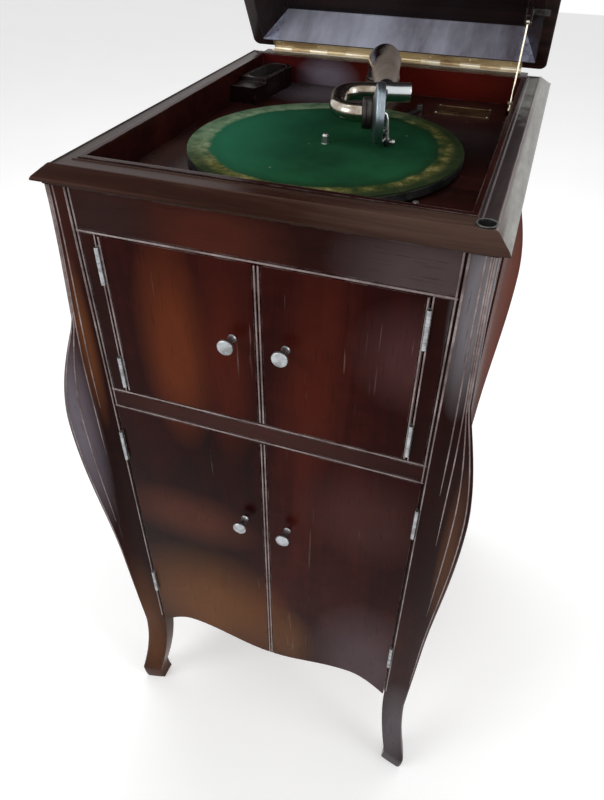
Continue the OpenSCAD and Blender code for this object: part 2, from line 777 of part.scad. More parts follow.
// the iron elbow from the horn's throat up to the motor board
module horn_elbow() color("#2b2b2b") in_frame() translate([arm_right, 0, 0]) difference() {
    union() {
        block([-throat_half, throat_y, throat_z - throat_half],
            [throat_half, throat_y + 6, throat_z + throat_half]);
        elbow_form(throat_r + 4, 0);
    }
    elbow_form(throat_r, 1);
}

module elbow_form(r, more) {
    translate([0, throat_y - more, throat_z]) rotate([-90, 0, 0])
        cylinder(r = r, h = arm_back - throat_y + more);
    translate([0, arm_back, throat_z]) sphere(r = r + 2);
    translate([0, arm_back, 0]) rod_z(r, throat_z, motor_board_z + more);
}

module door_upper_left() color("#571c12") in_frame() upper_door(-1);
module door_upper_right() color("#571c12") in_frame() upper_door(1);
module door_lower_left() color("#571c12") in_frame() lower_door(-1);
module door_lower_right() color("#571c12") in_frame() lower_door(1);

module knob_upper_left() color("#b9b9b6") in_frame() knob(-1, top_rail_z - knob_upper_drop);
module knob_upper_right() color("#b9b9b6") in_frame() knob(1, top_rail_z - knob_upper_drop);
module knob_lower_left() color("#b9b9b6") in_frame() knob(-1, mid_low - knob_lower_drop);
module knob_lower_right() color("#b9b9b6") in_frame() knob(1, mid_low - knob_lower_drop);

module hinge_leaves_case() color("#c8c8c4") in_frame() for (s = [-1, 1]) mirrored(s, 1) {
    case_leaf(stile_x, hinge_upper_low_z, hinge_upper_len);
    case_leaf(stile_x, hinge_upper_top_z, hinge_upper_len);
    case_leaf(in_x, hinge_lower_low_z, hinge_lower_len);
    case_leaf(in_x, hinge_lower_top_z, hinge_lower_len);
}

module upper_leaves(s) mirrored(s, 1) {
    door_leaf(stile_x, hinge_upper_low_z, hinge_upper_len);
    door_leaf(stile_x, hinge_upper_top_z, hinge_upper_len);
}

module lower_leaves(s) mirrored(s, 1) {
    door_leaf(in_x, hinge_lower_low_z, hinge_lower_len);
    door_leaf(in_x, hinge_lower_top_z, hinge_lower_len);
}

module hinge_leaves_upper_left() color("#c8c8c4") in_frame() upper_leaves(-1);
module hinge_leaves_upper_right() color("#c8c8c4") in_frame() upper_leaves(1);
module hinge_leaves_lower_left() color("#c8c8c4") in_frame() lower_leaves(-1);
module hinge_leaves_lower_right() color("#c8c8c4") in_frame() lower_leaves(1);

// lid, drawn closed beside its hinge axis
module lid_tray() color("#451710") in_frame() on_lid() {
    w = lid_width / 2;
    y1 = -lid_edge;
    y0 = y1 - lid_length;
    z0 = lid_low;
    zw = z0 + lid_wall;
    z1 = z0 + lid_height;
    zp = z1 - lid_top;
    r = lid_rim;
    rs = lid_rim + lid_slope;
    rb = lid_rim_back + lid_slope_back;
    difference() {
        intersection() {
            round_block([-w, y0, z0], [w, y1, z1], lid_corner);
            union() {
                block([-w, y0, z0], [w, y1, zw]);
                frustum([-w, y0], [w, y1], [-w + lid_fall, y0 + lid_fall],
                    [w - lid_fall, y1 - lid_fall_back], zw, z1);
            }
        }
        frustum([-w + r, y0 + r], [w - r, y1 - lid_rim_back], [-w + rs, y0 + rs], [w - rs, y1 - rb], z0, zp);
        block([-w + r, y0 + r, z0 - 1], [w - r, y1 - lid_rim_back, z0 + eps]);
        block([-long_hinge_len / 2 - gap, y1 - long_leaf_width, z0 - 1],
            [long_hinge_len / 2 + gap, y1 + 1, z0 + leaf]);
        block([stay_x, pivot_y + bar_y - 4.3, z0 - 1], [stay_x + bracket_flange + gap, pivot_y + bar_y + 4.3, z0 + 2]);
    }
}

// knuckles of the long hinge on its axis
module long_knuckle_row(first) {
    for (k = [first : 2 : long_knuckles - 1])
        translate([-long_hinge_len / 2 + k * long_pitch, 0, 0])
            rod_x(long_knuckle_r, gap / 2, long_pitch - gap / 2);
}

// flat leaf of the long hinge, on the wood and a little past its edge
module long_leaf(low) {
    block([-long_hinge_len / 2, -lid_edge - long_leaf_width, low],
        [long_hinge_len / 2, -lid_edge + 1.4, low + leaf]);
}

// tabs that join a leaf of the long hinge to its knuckles
module long_tabs(first, low) {
    for (k = [first : 2 : long_knuckles - 1])
        block([-long_hinge_len / 2 + k * long_pitch + gap / 2, -lid_edge, low],
            [-long_hinge_len / 2 + (k + 1) * long_pitch - gap / 2, -long_pin_r - 0.2, low + leaf]);
}

module long_hinge_case() color("#b08a3c") in_frame() translate([0, axis_y, axis_z]) union() {
    low = ledge_z - axis_z;
    long_leaf(low);
    long_tabs(0, low);
    long_knuckle_row(0);
    rod_x(long_pin_r, -long_hinge_len / 2 + 1, long_hinge_len / 2 - 1);
}

module long_hinge_lid() color("#b08a3c") in_frame() on_lid() difference() {
    union() {
        long_leaf(lid_low);
        long_tabs(1, lid_low);
        long_knuckle_row(1);
    }
    rod_x(long_pin_r + fit, -long_hinge_len / 2 - 1, long_hinge_len / 2 + 1);
}

// forked fitting, let into the lid's rim, that carries the stay rod on its pin
module stay_bracket() color("#c0b070") in_frame() on_lid() translate([0, pivot_y, 0]) union() {
    for (x = [stay_x - 2.6 - bracket_t, stay_x + 2.6])
        block([x, -bracket_len, -pivot_drop - 2.4], [x + bracket_t, 1, -pivot_drop + 2.4]);
    block([stay_x - 2.7, bar_y - 1.5, -pivot_drop - 1.4], [stay_x + 2.7, bar_y + 1.5, -pivot_drop + 1.4]);
    block([stay_x + 2.6, bar_y - 3, -pivot_drop], [stay_x + 2.6 + bracket_t, bar_y + 3, lid_low + 2]);
    block([stay_x + 2.7, bar_y - 4, lid_low], [stay_x + bracket_flange, bar_y + 4, lid_low + 2]);
    translate([0, 0, -pivot_drop]) rod_x(bracket_r, stay_x + 2.8, stay_x + 2.4 + bracket_t);
    translate([0, 0, -pivot_drop]) rod_x(stay_pin_r, stay_x - 2.8, stay_x + 4);
}

module stay_rod() color("#d8d4c0") in_frame() stay_pivot_place() rotate([-stay_tilt, 0, 0]) difference() {
    union() {
        rod_x(3.2, -2, 2);
        rod_z(stay_r, -stay_len, -1.5);
        rod_z(stay_r + 0.7, -stay_len, -stay_len + 3.5);
    }
    rod_x(stay_pin_r + fit, -3, 3);
}

// ring that guides the stay rod, on an arm from the well's right wall
module stay_eye() color("#c0a050") in_frame() translate([0, eye_y, eye_z]) difference() {
    union() {
        translate([stay_x, 0, 0]) rod_z(stay_r + eye_play + 1.8, -1.5, 1.5);
        block([stay_x, -2, -1.5], [well_x - liner, 2, 1.5]);
        block([well_x - liner - 1.5, -6, -8], [well_x - liner, 6, 8]);
    }
    translate([stay_x, 0, 0]) rod_z(stay_r + eye_play, -3, 3);
}

module turntable() color("#8d8d88") in_frame() translate([0, spin_y, 0]) difference() {
    rod_z(platter_r, platter_low, felt_z - felt);
    difference() {
        rod_z(platter_r - 4, platter_low - 1, felt_z - felt - 3);
        rod_z(16, platter_low - 2, felt_z);
    }
    rod_z(shaft_r + fit, platter_low - 1, felt_z);
}

module felt_mat() color("#0f5a33") in_frame() translate([0, spin_y, 0]) difference() {
    rod_z(platter_r - 0.5, felt_z - felt, felt_z);
    rod_z(shaft_r + 0.4, felt_z - felt - 1, felt_z + 1);
}

// spindle with the collar that carries the turntable, and its two motor wheels
module spindle() color("#c9c9c4") in_frame() translate([0, spin_y, 0]) union() {
    rod_z(shaft_r, sub_z, felt_z);
    rod_z(spindle_r, felt_z - 1, felt_z + spindle_rise - 2);
    translate([0, 0, felt_z + spindle_rise - 2]) cylinder(r1 = spindle_r, r2 = spindle_r - 1.2, h = 2);
    rod_z(8, platter_low - 2, platter_low);
    rod_z(spindle_pinion_r, barrel_low, barrel_low + 4);
    rod_z(governor_wheel_r, bed_z - 13, bed_z - 10);
}

module arm_base() color("#8a7c66") in_frame() translate([arm_right, arm_back, 0]) difference() {
    union() {
        rod_z(base_flange_r, motor_board_z, motor_board_z + 4);
        rod_z(base_r, motor_board_z + 3, motor_board_z + base_h);
    }
    rod_z(stub_r + fit, motor_board_z + 4, motor_board_z + base_h + 1);
    rod_z(throat_r - 6, motor_board_z - 1, motor_board_z + 5);
}

// swivelling tube: upright stub, bend, tapered arm and cross sleeve
module tone_arm() color("#b5ad98") in_frame() on_arm() difference() {
    union() {
        rod_z(stub_r, motor_board_z + 6, arm_z);
        rod_z(base_r, motor_board_z + base_h + gap, motor_board_z + base_h + 4);
        translate([0, 0, motor_board_z + base_h + 3]) cylinder(r1 = base_r - 0.6, r2 = arm_r_back - 1,
            h = arm_rise + felt_z - motor_board_z - base_h - 5);
        arm_form(arm_r_back, arm_r_front);
        translate([0, arm_length, arm_z]) rod_x(sleeve_r, sleeve_left, sleeve_left + sleeve_len);
    }
    arm_form(arm_r_back - arm_wall, arm_r_front - 2 * arm_wall);
    rod_z(stub_r - arm_wall, motor_board_z + 5, arm_z);
    translate([0, arm_length, arm_z]) rod_x(neck_r + fit, sleeve_left - 1, sleeve_left + sleeve_len - 6);
}

// the arm's tapered tube, radius r1 to r2, with the ball at its back end
module arm_form(r1, r2) {
    translate([0, 0, arm_z]) sphere(r = r1);
    translate([0, 0, arm_z]) rotate([-90, 0, 0]) cylinder(r1 = r1 - 1.2, r2 = r2, h = arm_length);
}

// U-shaped tube that turns in the cross sleeve and carries the sound box
module gooseneck() color("#c2b594") in_frame() on_arm() translate([0, 0, arm_z]) difference() {
    union() {
        neck_form(tube_r);
        neck_ends(neck_r, 0);
    }
    neck_form(neck_r - arm_wall);
    neck_ends(neck_r - arm_wall, 1);
}

// straight stretches of the tube, each a ferrule round the ends of the bends
module neck_form(r) {
    translate([0, arm_length, 0]) rod_x(r, neck_t - 1, sleeve_left - gap);
    translate([neck_t, arm_length + neck_bend, 0]) rotate([0, 0, 180]) neck_corner(r);
    translate([neck_t - neck_bend, arm_length + neck_bend - 1, 0]) rotate([-90, 0, 0])
        cylinder(r = r, h = neck_span - 2 * neck_bend + 2);
    translate([neck_t, box_f - neck_bend, 0]) rotate([0, 0, 90]) neck_corner(r);
    translate([0, box_f, 0]) rod_x(r, neck_t - 1, neck_t + 1.2);
}

// thinner ends, one in the cross sleeve and one in the sound box's collar
module neck_ends(r, more) {
    translate([0, arm_length, 0]) rod_x(r, neck_t, sleeve_left + sleeve_len - 8 + more);
    translate([0, box_f, 0]) rod_x(r, neck_t, box_t - box_thick / 2 + more);
}

module neck_corner(r) {
    rotate_extrude(angle = 90) translate([neck_bend, 0]) circle(r = r - 0.2);
}

module sound_box() color("#b9b9b4") in_frame() on_arm() translate([0, box_f, arm_z]) difference() {
    union() {
        rod_x(box_r, box_t - box_thick / 2, box_t + box_thick / 2);
        rod_x(collar_r, box_t - box_thick / 2 - collar_len, box_t - box_thick / 2);
    }
    rod_x(box_r - 4, box_t - box_thick / 2 + 4, box_t + box_thick / 2 + 1);
    rod_x(neck_r + fit, box_t - box_thick / 2 - collar_len - 1, box_t - box_thick / 2);
    rod_x(neck_r - arm_wall, box_t - box_thick / 2 - 1, box_t + box_thick / 2);
}

module diaphragm() color("#5a5148") in_frame() on_arm() translate([0, box_f, arm_z])
    rod_x(box_r - 4 - fit, box_t + box_thick / 2 - 5, box_t + box_thick / 2 - 2);

// bar, clamp and needle in front of the diaphragm
module needle_bar() color("#70706c") in_frame() on_arm() translate([0, box_f, arm_z]) {
    xb = box_t + box_thick / 2;
    union() {
        block([xb, -5, -box_r - 1], [xb + 4, 5, -box_r + 8]);
        block([xb + 4, -2, -box_r - 2], [xb + 7, 2, 2]);
        rod_x(2.5, xb - 2, xb + 5);
        translate([xb + 6, 0, 0]) rod_z(3.2, -box_r - 2.6, -box_r + 5);
        translate([xb + 6, 0, 0]) rod_z(needle_r, -arm_rise + 0.3, -box_r);
        translate([0, 0, -box_r + 1]) rod_x(1.6, xb + 5, xb + 14);
        translate([0, 0, -box_r + 1]) rod_x(3, xb + 12, xb + 15);
    }
}

// brake lever that presses on the turntable's rim
module brake_lever() color("#a08c50") in_frame()
    translate([brake_x, brake_y, motor_board_z]) rotate([0, 0, brake_a]) union() {
        rod_z(brake_pin_r, -5, 1);
        rod_z(6, gap, 3);
        block([0, -4, gap], [brake_reach - 3, 4, 3]);
        intersection() {
            block([brake_reach - 4, -7, gap], [brake_reach, 7, platter_low - motor_board_z + platter_h]);
            rod_z(brake_reach, 0, 2 * platter_rise);
        }
        block([-brake_tail, -3, gap], [0, 3, 3]);
        translate([-brake_tail, 0, 0]) rod_z(4, gap, 8);
    }

module speed_screw() color("#c9c9c4") in_frame() translate([speed_x, speed_y, 0]) union() {
    rod_z(speed_pin_r, board_low - 6, motor_board_z + 1);
    rod_z(3, motor_board_z + gap, motor_board_z + 3);
}

// needle box with a long round-backed trough
module needle_box() color("#3f1811") in_frame() translate([needles_x, needles_y, motor_board_z])
    rotate([0, 0, -needle_turn]) difference() {
        union() {
            block([-needle_box_w / 2, 0, 0], [needle_box_w / 2, needle_step, needle_box_h - 5]);
            block([-needle_box_w / 2, needle_step, 0],
                [needle_box_w / 2, needle_box_len - needle_corner, needle_box_h]);
            block([-needle_box_w / 2 + needle_corner, needle_box_len - needle_corner - 1, 0],
                [needle_box_w / 2 - needle_corner, needle_box_len, needle_box_h]);
            for (s = [-1, 1])
                translate([s * (needle_box_w / 2 - needle_corner), needle_box_len - needle_corner, 0])
                    rod_z(needle_corner, 0, needle_box_h);
        }
        for (y = [needle_step + trough_r + 4, needle_box_len - trough_r - 4])
            translate([0, y, 0]) rod_z(trough_r, needle_box_h - 14, needle_box_h + 1);
        block([-trough_r, needle_step + trough_r + 4, needle_box_h - 14],
            [trough_r, needle_box_len - trough_r - 4, needle_box_h + 1]);
    }

module needle_cup() color("#77736a") in_frame() translate([cup_x, cup_y, 0]) difference() {
    rod_z(needle_cup_r, ledge_z - cup_depth, ledge_z + 0.5);
    rod_z(needle_cup_r - 1.5, ledge_z - cup_depth + 2, ledge_z + 1);
}

module blank_plate() color("#a58a46") in_frame() translate([plate_x, plate_y, motor_board_z]) difference() {
    block([-plate_len / 2, -plate_w / 2, 0], [plate_len / 2, plate_w / 2, 1.2]);
    block([-plate_len / 2 + 4, -plate_w / 2 + 4, 0.7], [plate_len / 2 - 4, plate_w / 2 - 4, 2]);
}

// plates, pillars and bearings of the spring motor
module motor_frame() color("#4f5350") in_frame() translate([0, spin_y, 0]) difference() {
    union() {
        block([bed_left, -bed_half, bed_z], [bed_right, bed_half, board_low]);
        block([bed_left + 6, -bed_half + 8, sub_z], [bed_right - 2, bed_half - 8, sub_z + 3]);
        for (x = [bed_left + 11, bed_right - 7], s = [-1, 1])
            translate([x, s * (bed_half - 13), 0]) rod_z(4, sub_z + 1, bed_z + 1);
        rod_z(9, bed_z - 7, bed_z + 1);
        block([bearing_x, -wind_r - 3, wind_z - wind_r - 4], [bearing_x + 5, wind_r + 3, bed_z + 1]);
    }
    rod_z(shaft_r + fit, sub_z - 1, board_low + 1);
    translate([barrel_x, 0, 0]) rod_z(wind_r + fit, sub_z - 1, board_low - 1);
    translate([-governor_x, 0, 0]) rod_z(governor_r + fit, sub_z - 1, board_low - 1);
    translate([0, 0, wind_z]) rod_x(wind_r + fit, bearing_x - 1, bearing_x + 6);
}

module spring_barrel() color("#8b8f8c") in_frame() translate([barrel_x, spin_y, 0]) difference() {
    union() {
        rod_z(barrel_wheel_r, barrel_low, barrel_low + 4);
        rod_z(barrel_r, barrel_low + 4, arbor_wheel_z - 2);
    }
    rod_z(wind_r + fit, barrel_low - 1, arbor_wheel_z);
    rod_z(barrel_r - 2, barrel_low + 6, arbor_wheel_z - 4);
}

// arbor inside the barrel, turned by the winding shaft
module winding_arbor() color("#9a9a92") in_frame() translate([barrel_x, spin_y, 0]) union() {
    rod_z(wind_r, sub_z, bed_z + 2);
    rod_z(arbor_wheel_r, arbor_wheel_z, arbor_wheel_z + 4);
}

module winding_shaft() color("#9a9a92") in_frame() translate([0, spin_y, wind_z]) difference() {
    union() {
        rod_x(wind_r, barrel_x + wind_r + 4, panel_x - 30);
        rod_x(wind_pinion_r, barrel_x + wind_r + 4, barrel_x + wind_r + 10);
        rod_x(wind_end_r, panel_x - 36, panel_x + 2.5);
    }
    rod_x(socket_r, panel_x + 2.5 - socket_depth, panel_x + 4);
}

// governor with three weights on its collars
module governor() color("#a8873e") in_frame() translate([-governor_x, spin_y, 0]) union() {
    rod_z(governor_r, sub_z, bed_z + 2);
    rod_z(governor_pinion_r, bed_z - 13, bed_z - 10);
    rod_z(15, sub_z + 8, sub_z + 10);
    rod_z(5, sub_z + 10, sub_z + 14);
    rod_z(5, sub_z + 30, sub_z + 34);
    for (a = [0 : 120 : 240]) rotate([0, 0, a]) {
        translate([10, 0, sub_z + 22]) sphere(r = 4.5);
        block([4, -1.5, sub_z + 12], [10.5, 1.5, sub_z + 13]);
        block([9.5, -1.5, sub_z + 12], [10.5, 1.5, sub_z + 32]);
        block([4, -1.5, sub_z + 31], [10.5, 1.5, sub_z + 32]);
    }
}

module escutcheon() color("#b08a3c") in_frame() translate([panel_x, spin_y, wind_z]) difference() {
    rod_x(15, 0, 2);
    rod_x(wind_end_r + fit, -1, 3);
}

post_front_left();
post_front_right();
post_back_left();
post_back_right();
side_panel_left();
side_panel_right();
back_panel();
top_rail();
middle_rail();
door_stiles();
moulding_front();
moulding_back();
moulding_left();
moulding_right();
well_liner();
motor_board();
board_cleats();
horn_shelf();
bottom_board();
horn();
horn_elbow();
door_upper_left();
door_upper_right();
door_lower_left();
door_lower_right();
knob_upper_left();
knob_upper_right();
knob_lower_left();
knob_lower_right();
hinge_leaves_case();
hinge_leaves_upper_left();
hinge_leaves_upper_right();
hinge_leaves_lower_left();
hinge_leaves_lower_right();
lid_tray();
long_hinge_case();
long_hinge_lid();
stay_bracket();
stay_rod();
stay_eye();
turntable();
felt_mat();
spindle();
arm_base();
tone_arm();
gooseneck();
sound_box();
diaphragm();
needle_bar();
brake_lever();
speed_screw();
needle_box();
needle_cup();
blank_plate();
motor_frame();
spring_barrel();
winding_arbor();
winding_shaft();
governor();
escutcheon();
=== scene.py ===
"""Dresses the floor-standing gramophone cabinet: camera, light, smooth pieces and finishes."""
import math

import bmesh
import bpy
from mathutils import Matrix, Vector


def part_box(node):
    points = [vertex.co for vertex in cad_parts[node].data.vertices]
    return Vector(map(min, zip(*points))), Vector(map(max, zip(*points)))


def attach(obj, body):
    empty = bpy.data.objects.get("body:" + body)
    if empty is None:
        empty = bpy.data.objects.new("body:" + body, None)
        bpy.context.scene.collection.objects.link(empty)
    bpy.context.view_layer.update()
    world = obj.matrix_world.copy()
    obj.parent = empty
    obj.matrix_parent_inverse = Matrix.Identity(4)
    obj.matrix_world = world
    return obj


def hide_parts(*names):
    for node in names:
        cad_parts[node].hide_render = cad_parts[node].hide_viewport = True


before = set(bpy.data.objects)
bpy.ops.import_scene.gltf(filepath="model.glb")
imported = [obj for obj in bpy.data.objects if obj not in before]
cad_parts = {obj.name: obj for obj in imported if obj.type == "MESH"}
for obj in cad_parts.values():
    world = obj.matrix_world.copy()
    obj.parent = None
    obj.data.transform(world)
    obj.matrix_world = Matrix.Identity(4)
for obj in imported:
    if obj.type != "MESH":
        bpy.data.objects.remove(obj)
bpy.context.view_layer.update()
MM = 0.001

# ---------------------------------------------------------------- driving sizes, in millimetres
POST_X = 214.0          # flat outer face of a post, across the doors
POST_Y = 256.0          # flat outer face of a post, front to back
POST_W = 26.0
POST_TOP = 916.5
EASE, EASE_LEN = 6.9, 240.0
FIN, FIN_Z, FIN_UP, FIN_DOWN = 21.5, 620.0, 142.0, 280.0
FIN_TAIL, TAIL_SHARE = 450.0, 0.56
DOOR_MID = 3.5          # the doors meet a little right of the middle
FIN_ROOT, FIN_EDGE = 6.0, 2.2
FLARE, APRON_Z, TOE_Z = 18.0, 176.0, 30.0
LEDGE_Z = 935.0
SIDE_BEAD_Y = -232.6
# beads that follow a front post: share of the way to its fin, and lowest point
POST_BEADS = ((0.55, 640), (1.0, 560), (1.5, 430), (1.92, 250))
BEAD_FOOT = 188.0       # where the beads of the posts end, above the feet
BOARD_Z = 901.0
ARM_X, ARM_Y, ARM_Z = 4.0, 200.0, 948.5
ARM_SWING = 15.0
ARM_LEN, NECK_SPAN, NECK_BEND, NECK_R = 155.0, 84.0, 25.0, 9.6
ARM_R_BACK, ARM_R_FRONT = 21.9, 9.5
BOX_T, BOX_THICK, BOX_R = -10.6, 11.0, 30.5
COLLAR_LEN, COLLAR_R = 12.0, 16.0
SLEEVE_LEFT, SLEEVE_LEN = -12.7, 40.5
LID_OPEN = 60.0
LID_HINGE = (0, 266.7, 936.35)
POLISH = (1.0, 0.5, 0.4)      # the reddish shine of old shellac
WOOD_SHINE = 0.06
FLOOR_LIFT = 0.36             # what the camera sees of the floor beyond its own colour
KNOB_X = 29.0           # from the line where the doors meet
KNOB_Z = {"upper": 783.0, "lower": 503.0}

# the front faces of the rails tell where the case lies in the row frame
Y0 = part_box("top_rail")[0].y / MM + POST_Y
SPINDLE = sum(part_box("felt_mat"), Vector()) / 2


def at(x, y, z):
    """A point given in the case's own millimetres, in the row frame."""
    return Vector((x, y + Y0, z)) * MM


# ---------------------------------------------------------------- camera
# found by fitting the case's own lines to the photograph
CAM_PLACE = at(220.0, -747.9, 1158.8)
CAM_PITCH, CAM_YAW, CAM_ROLL = 39.92, 19.05, -0.71
CAM_LENS = 29.3


def make_camera():
    pitch, yaw, roll = (math.radians(a) for a in (CAM_PITCH, CAM_YAW, CAM_ROLL))
    look = Vector((-math.sin(yaw) * math.cos(pitch), math.cos(yaw) * math.cos(pitch), -math.sin(pitch)))
    right = Vector((math.cos(yaw), math.sin(yaw), 0))
    down = look.cross(right)
    right_r = right * math.cos(roll) + down * math.sin(roll)
    down_r = down * math.cos(roll) - right * math.sin(roll)
    cam = bpy.data.objects.new("camera", bpy.data.cameras.new("camera"))
    cam.data.lens = CAM_LENS
    cam.data.sensor_width = 36
    cam.data.clip_start = 0.01
    cam.matrix_world = Matrix.Translation(CAM_PLACE) @ Matrix((right_r, -down_r, -look)).transposed().to_4x4()
    bpy.context.scene.collection.objects.link(cam)
    bpy.context.scene.camera = cam


# ---------------------------------------------------------------- node helpers
class Nodes:
    """Short names for building one material's node tree."""

    def __init__(self, name):
        self.material = bpy.data.materials.new(name)
        self.material.use_nodes = True
        self.tree = self.material.node_tree
        self.shader = self.tree.nodes["Principled BSDF"]
        coords = self.tree.nodes.new("ShaderNodeTexCoord")
        self.place = coords.outputs["Object"]

    def link(self, out, to):
        self.tree.links.new(out, to)

    def set(self, **values):
        for key, value in values.items():
            self.put(self.shader.inputs[key.replace("_", " ")], value)

    def put(self, socket, value):
        if isinstance(value, bpy.types.NodeSocket):
            self.link(value, socket)
        elif isinstance(value, (tuple, list)) and len(value) == 3 and socket.type == "RGBA":
            socket.default_value = (*value, 1)
        else:
            socket.default_value = value

    def scaled(self, scale, turn=(0, 0, 0), place=None):
        m = self.tree.nodes.new("ShaderNodeMapping")
        m.inputs["Scale"].default_value = scale
        m.inputs["Rotation"].default_value = turn
        self.link(place or self.place, m.inputs["Vector"])
        return m.outputs["Vector"]

    def noise(self, scale, detail=4.0, rough=0.5, stretch=(1, 1, 1), distortion=0.0, place=None):
        n = self.tree.nodes.new("ShaderNodeTexNoise")
        self.link(self.scaled(stretch, place=place), n.inputs["Vector"])
        n.inputs["Scale"].default_value = scale
        n.inputs["Detail"].default_value = detail
        n.inputs["Roughness"].default_value = rough
        n.inputs["Distortion"].default_value = distortion
        return n.outputs["Fac"]

    def cells(self, scale, stretch=(1, 1, 1), feature="F1"):
        n = self.tree.nodes.new("ShaderNodeTexVoronoi")
        n.feature = feature
        self.link(self.scaled(stretch), n.inputs["Vector"])
        n.inputs["Scale"].default_value = scale
        return n.outputs["Distance"]

    def ramp(self, fac, *stops):
        r = self.tree.nodes.new("ShaderNodeValToRGB")
        self.link(fac, r.inputs["Fac"])
        elements = r.color_ramp.elements
        while len(elements) < len(stops):
            elements.new(0.5)
        for element, (pos, value) in zip(elements, stops):
            element.position = pos
            element.color = (value,) * 3 + (1,) if isinstance(value, (int, float)) else (*value, 1)
        return r.outputs["Color"]

    def math(self, kind, a, b=0.0, clamp=False):
        n = self.tree.nodes.new("ShaderNodeMath")
        n.operation = kind
        n.use_clamp = clamp
        self.put(n.inputs[0], a)
        self.put(n.inputs[1], b)
        return n.outputs[0]

    def mix(self, fac, a, b, kind="MIX"):
        n = self.tree.nodes.new("ShaderNodeMix")
        n.data_type = "RGBA"
        n.blend_type = kind
        self.put(n.inputs[0], fac)
        self.put(n.inputs[6], a)
        self.put(n.inputs[7], b)
        return n.outputs[2]

    def zone(self, centre, radii, hard=0.35):
        """1 inside an ellipsoid given in the case's millimetres, fading to 0 at its surface."""
        m = self.tree.nodes.new("ShaderNodeMapping")
        spot = at(*centre)
        m.inputs["Scale"].default_value = [1 / (r * MM) for r in radii]
        m.inputs["Location"].default_value = [-c / (r * MM) for c, r in zip(spot, radii)]
        self.link(self.place, m.inputs["Vector"])
        wobble = self.tree.nodes.new("ShaderNodeVectorMath")
        wobble.operation = "LENGTH"
        self.link(m.outputs["Vector"], wobble.inputs[0])
        return self.ramp(wobble.outputs["Value"], (hard, 1.0), (1.0, 0.0))

    def painted(self, colour, tone_and_reflection_zones, streak):
        """Lays zones of wood tone and of painted reflection over a colour, broken up by the grain."""
        for centre, radii, paint, strength in tone_and_reflection_zones:
            amount = self.math("MULTIPLY", self.zone(centre, radii, 0.3), strength)
            amount = self.math("MULTIPLY", amount, self.ramp(streak, (0.25, 0.7), (0.6, 1.0)))
            colour = self.mix(amount, colour, paint)
        return colour

    def axis(self, name, place=None):
        n = self.tree.nodes.new("ShaderNodeSeparateXYZ")
        self.link(place or self.place, n.inputs[0])
        return n.outputs[name]

    def edge(self, radius):
        """1 on sharp edges, 0 on flats: how far a rounded normal turns from the true one."""
        bevel = self.tree.nodes.new("ShaderNodeBevel")
        bevel.samples = 6
        bevel.inputs["Radius"].default_value = radius
        geometry = self.tree.nodes.new("ShaderNodeNewGeometry")
        dot = self.tree.nodes.new("ShaderNodeVectorMath")
        dot.operation = "DOT_PRODUCT"
        self.link(bevel.outputs["Normal"], dot.inputs[0])
        self.link(geometry.outputs["Normal"], dot.inputs[1])
        return self.math("SUBTRACT", 1.0, dot.outputs["Value"], clamp=True)

    def rubbed(self, radius):
        """Sharp edges that are rubbed in patches."""
        patchy = self.noise(38.0, detail=5, rough=0.7)
        return self.math("MULTIPLY", self.ramp(self.edge(radius), (0.02, 0.0), (0.16, 1.0)),
                         self.ramp(patchy, (0.42, 0.0), (0.62, 1.0)))

    def bump(self, height, strength, distance, radius=0.0):
        b = self.tree.nodes.new("ShaderNodeBump")
        b.inputs["Strength"].default_value = strength
        b.inputs["Distance"].default_value = distance
        self.link(height, b.inputs["Height"])
        if radius:
            bevel = self.tree.nodes.new("ShaderNodeBevel")
            bevel.samples = 6
            bevel.inputs["Radius"].default_value = radius
            self.link(bevel.outputs["Normal"], b.inputs["Normal"])
        self.link(b.outputs["Normal"], self.shader.inputs["Normal"])


STRETCH = {"X": (0.05, 1, 1), "Y": (1, 0.05, 1), "Z": (1, 1, 0.05)}


def stretched(grain, times):
    """The grain's stretch, made weaker or stronger along its length."""
    return tuple(min(1.0, a * times) for a in STRETCH[grain])


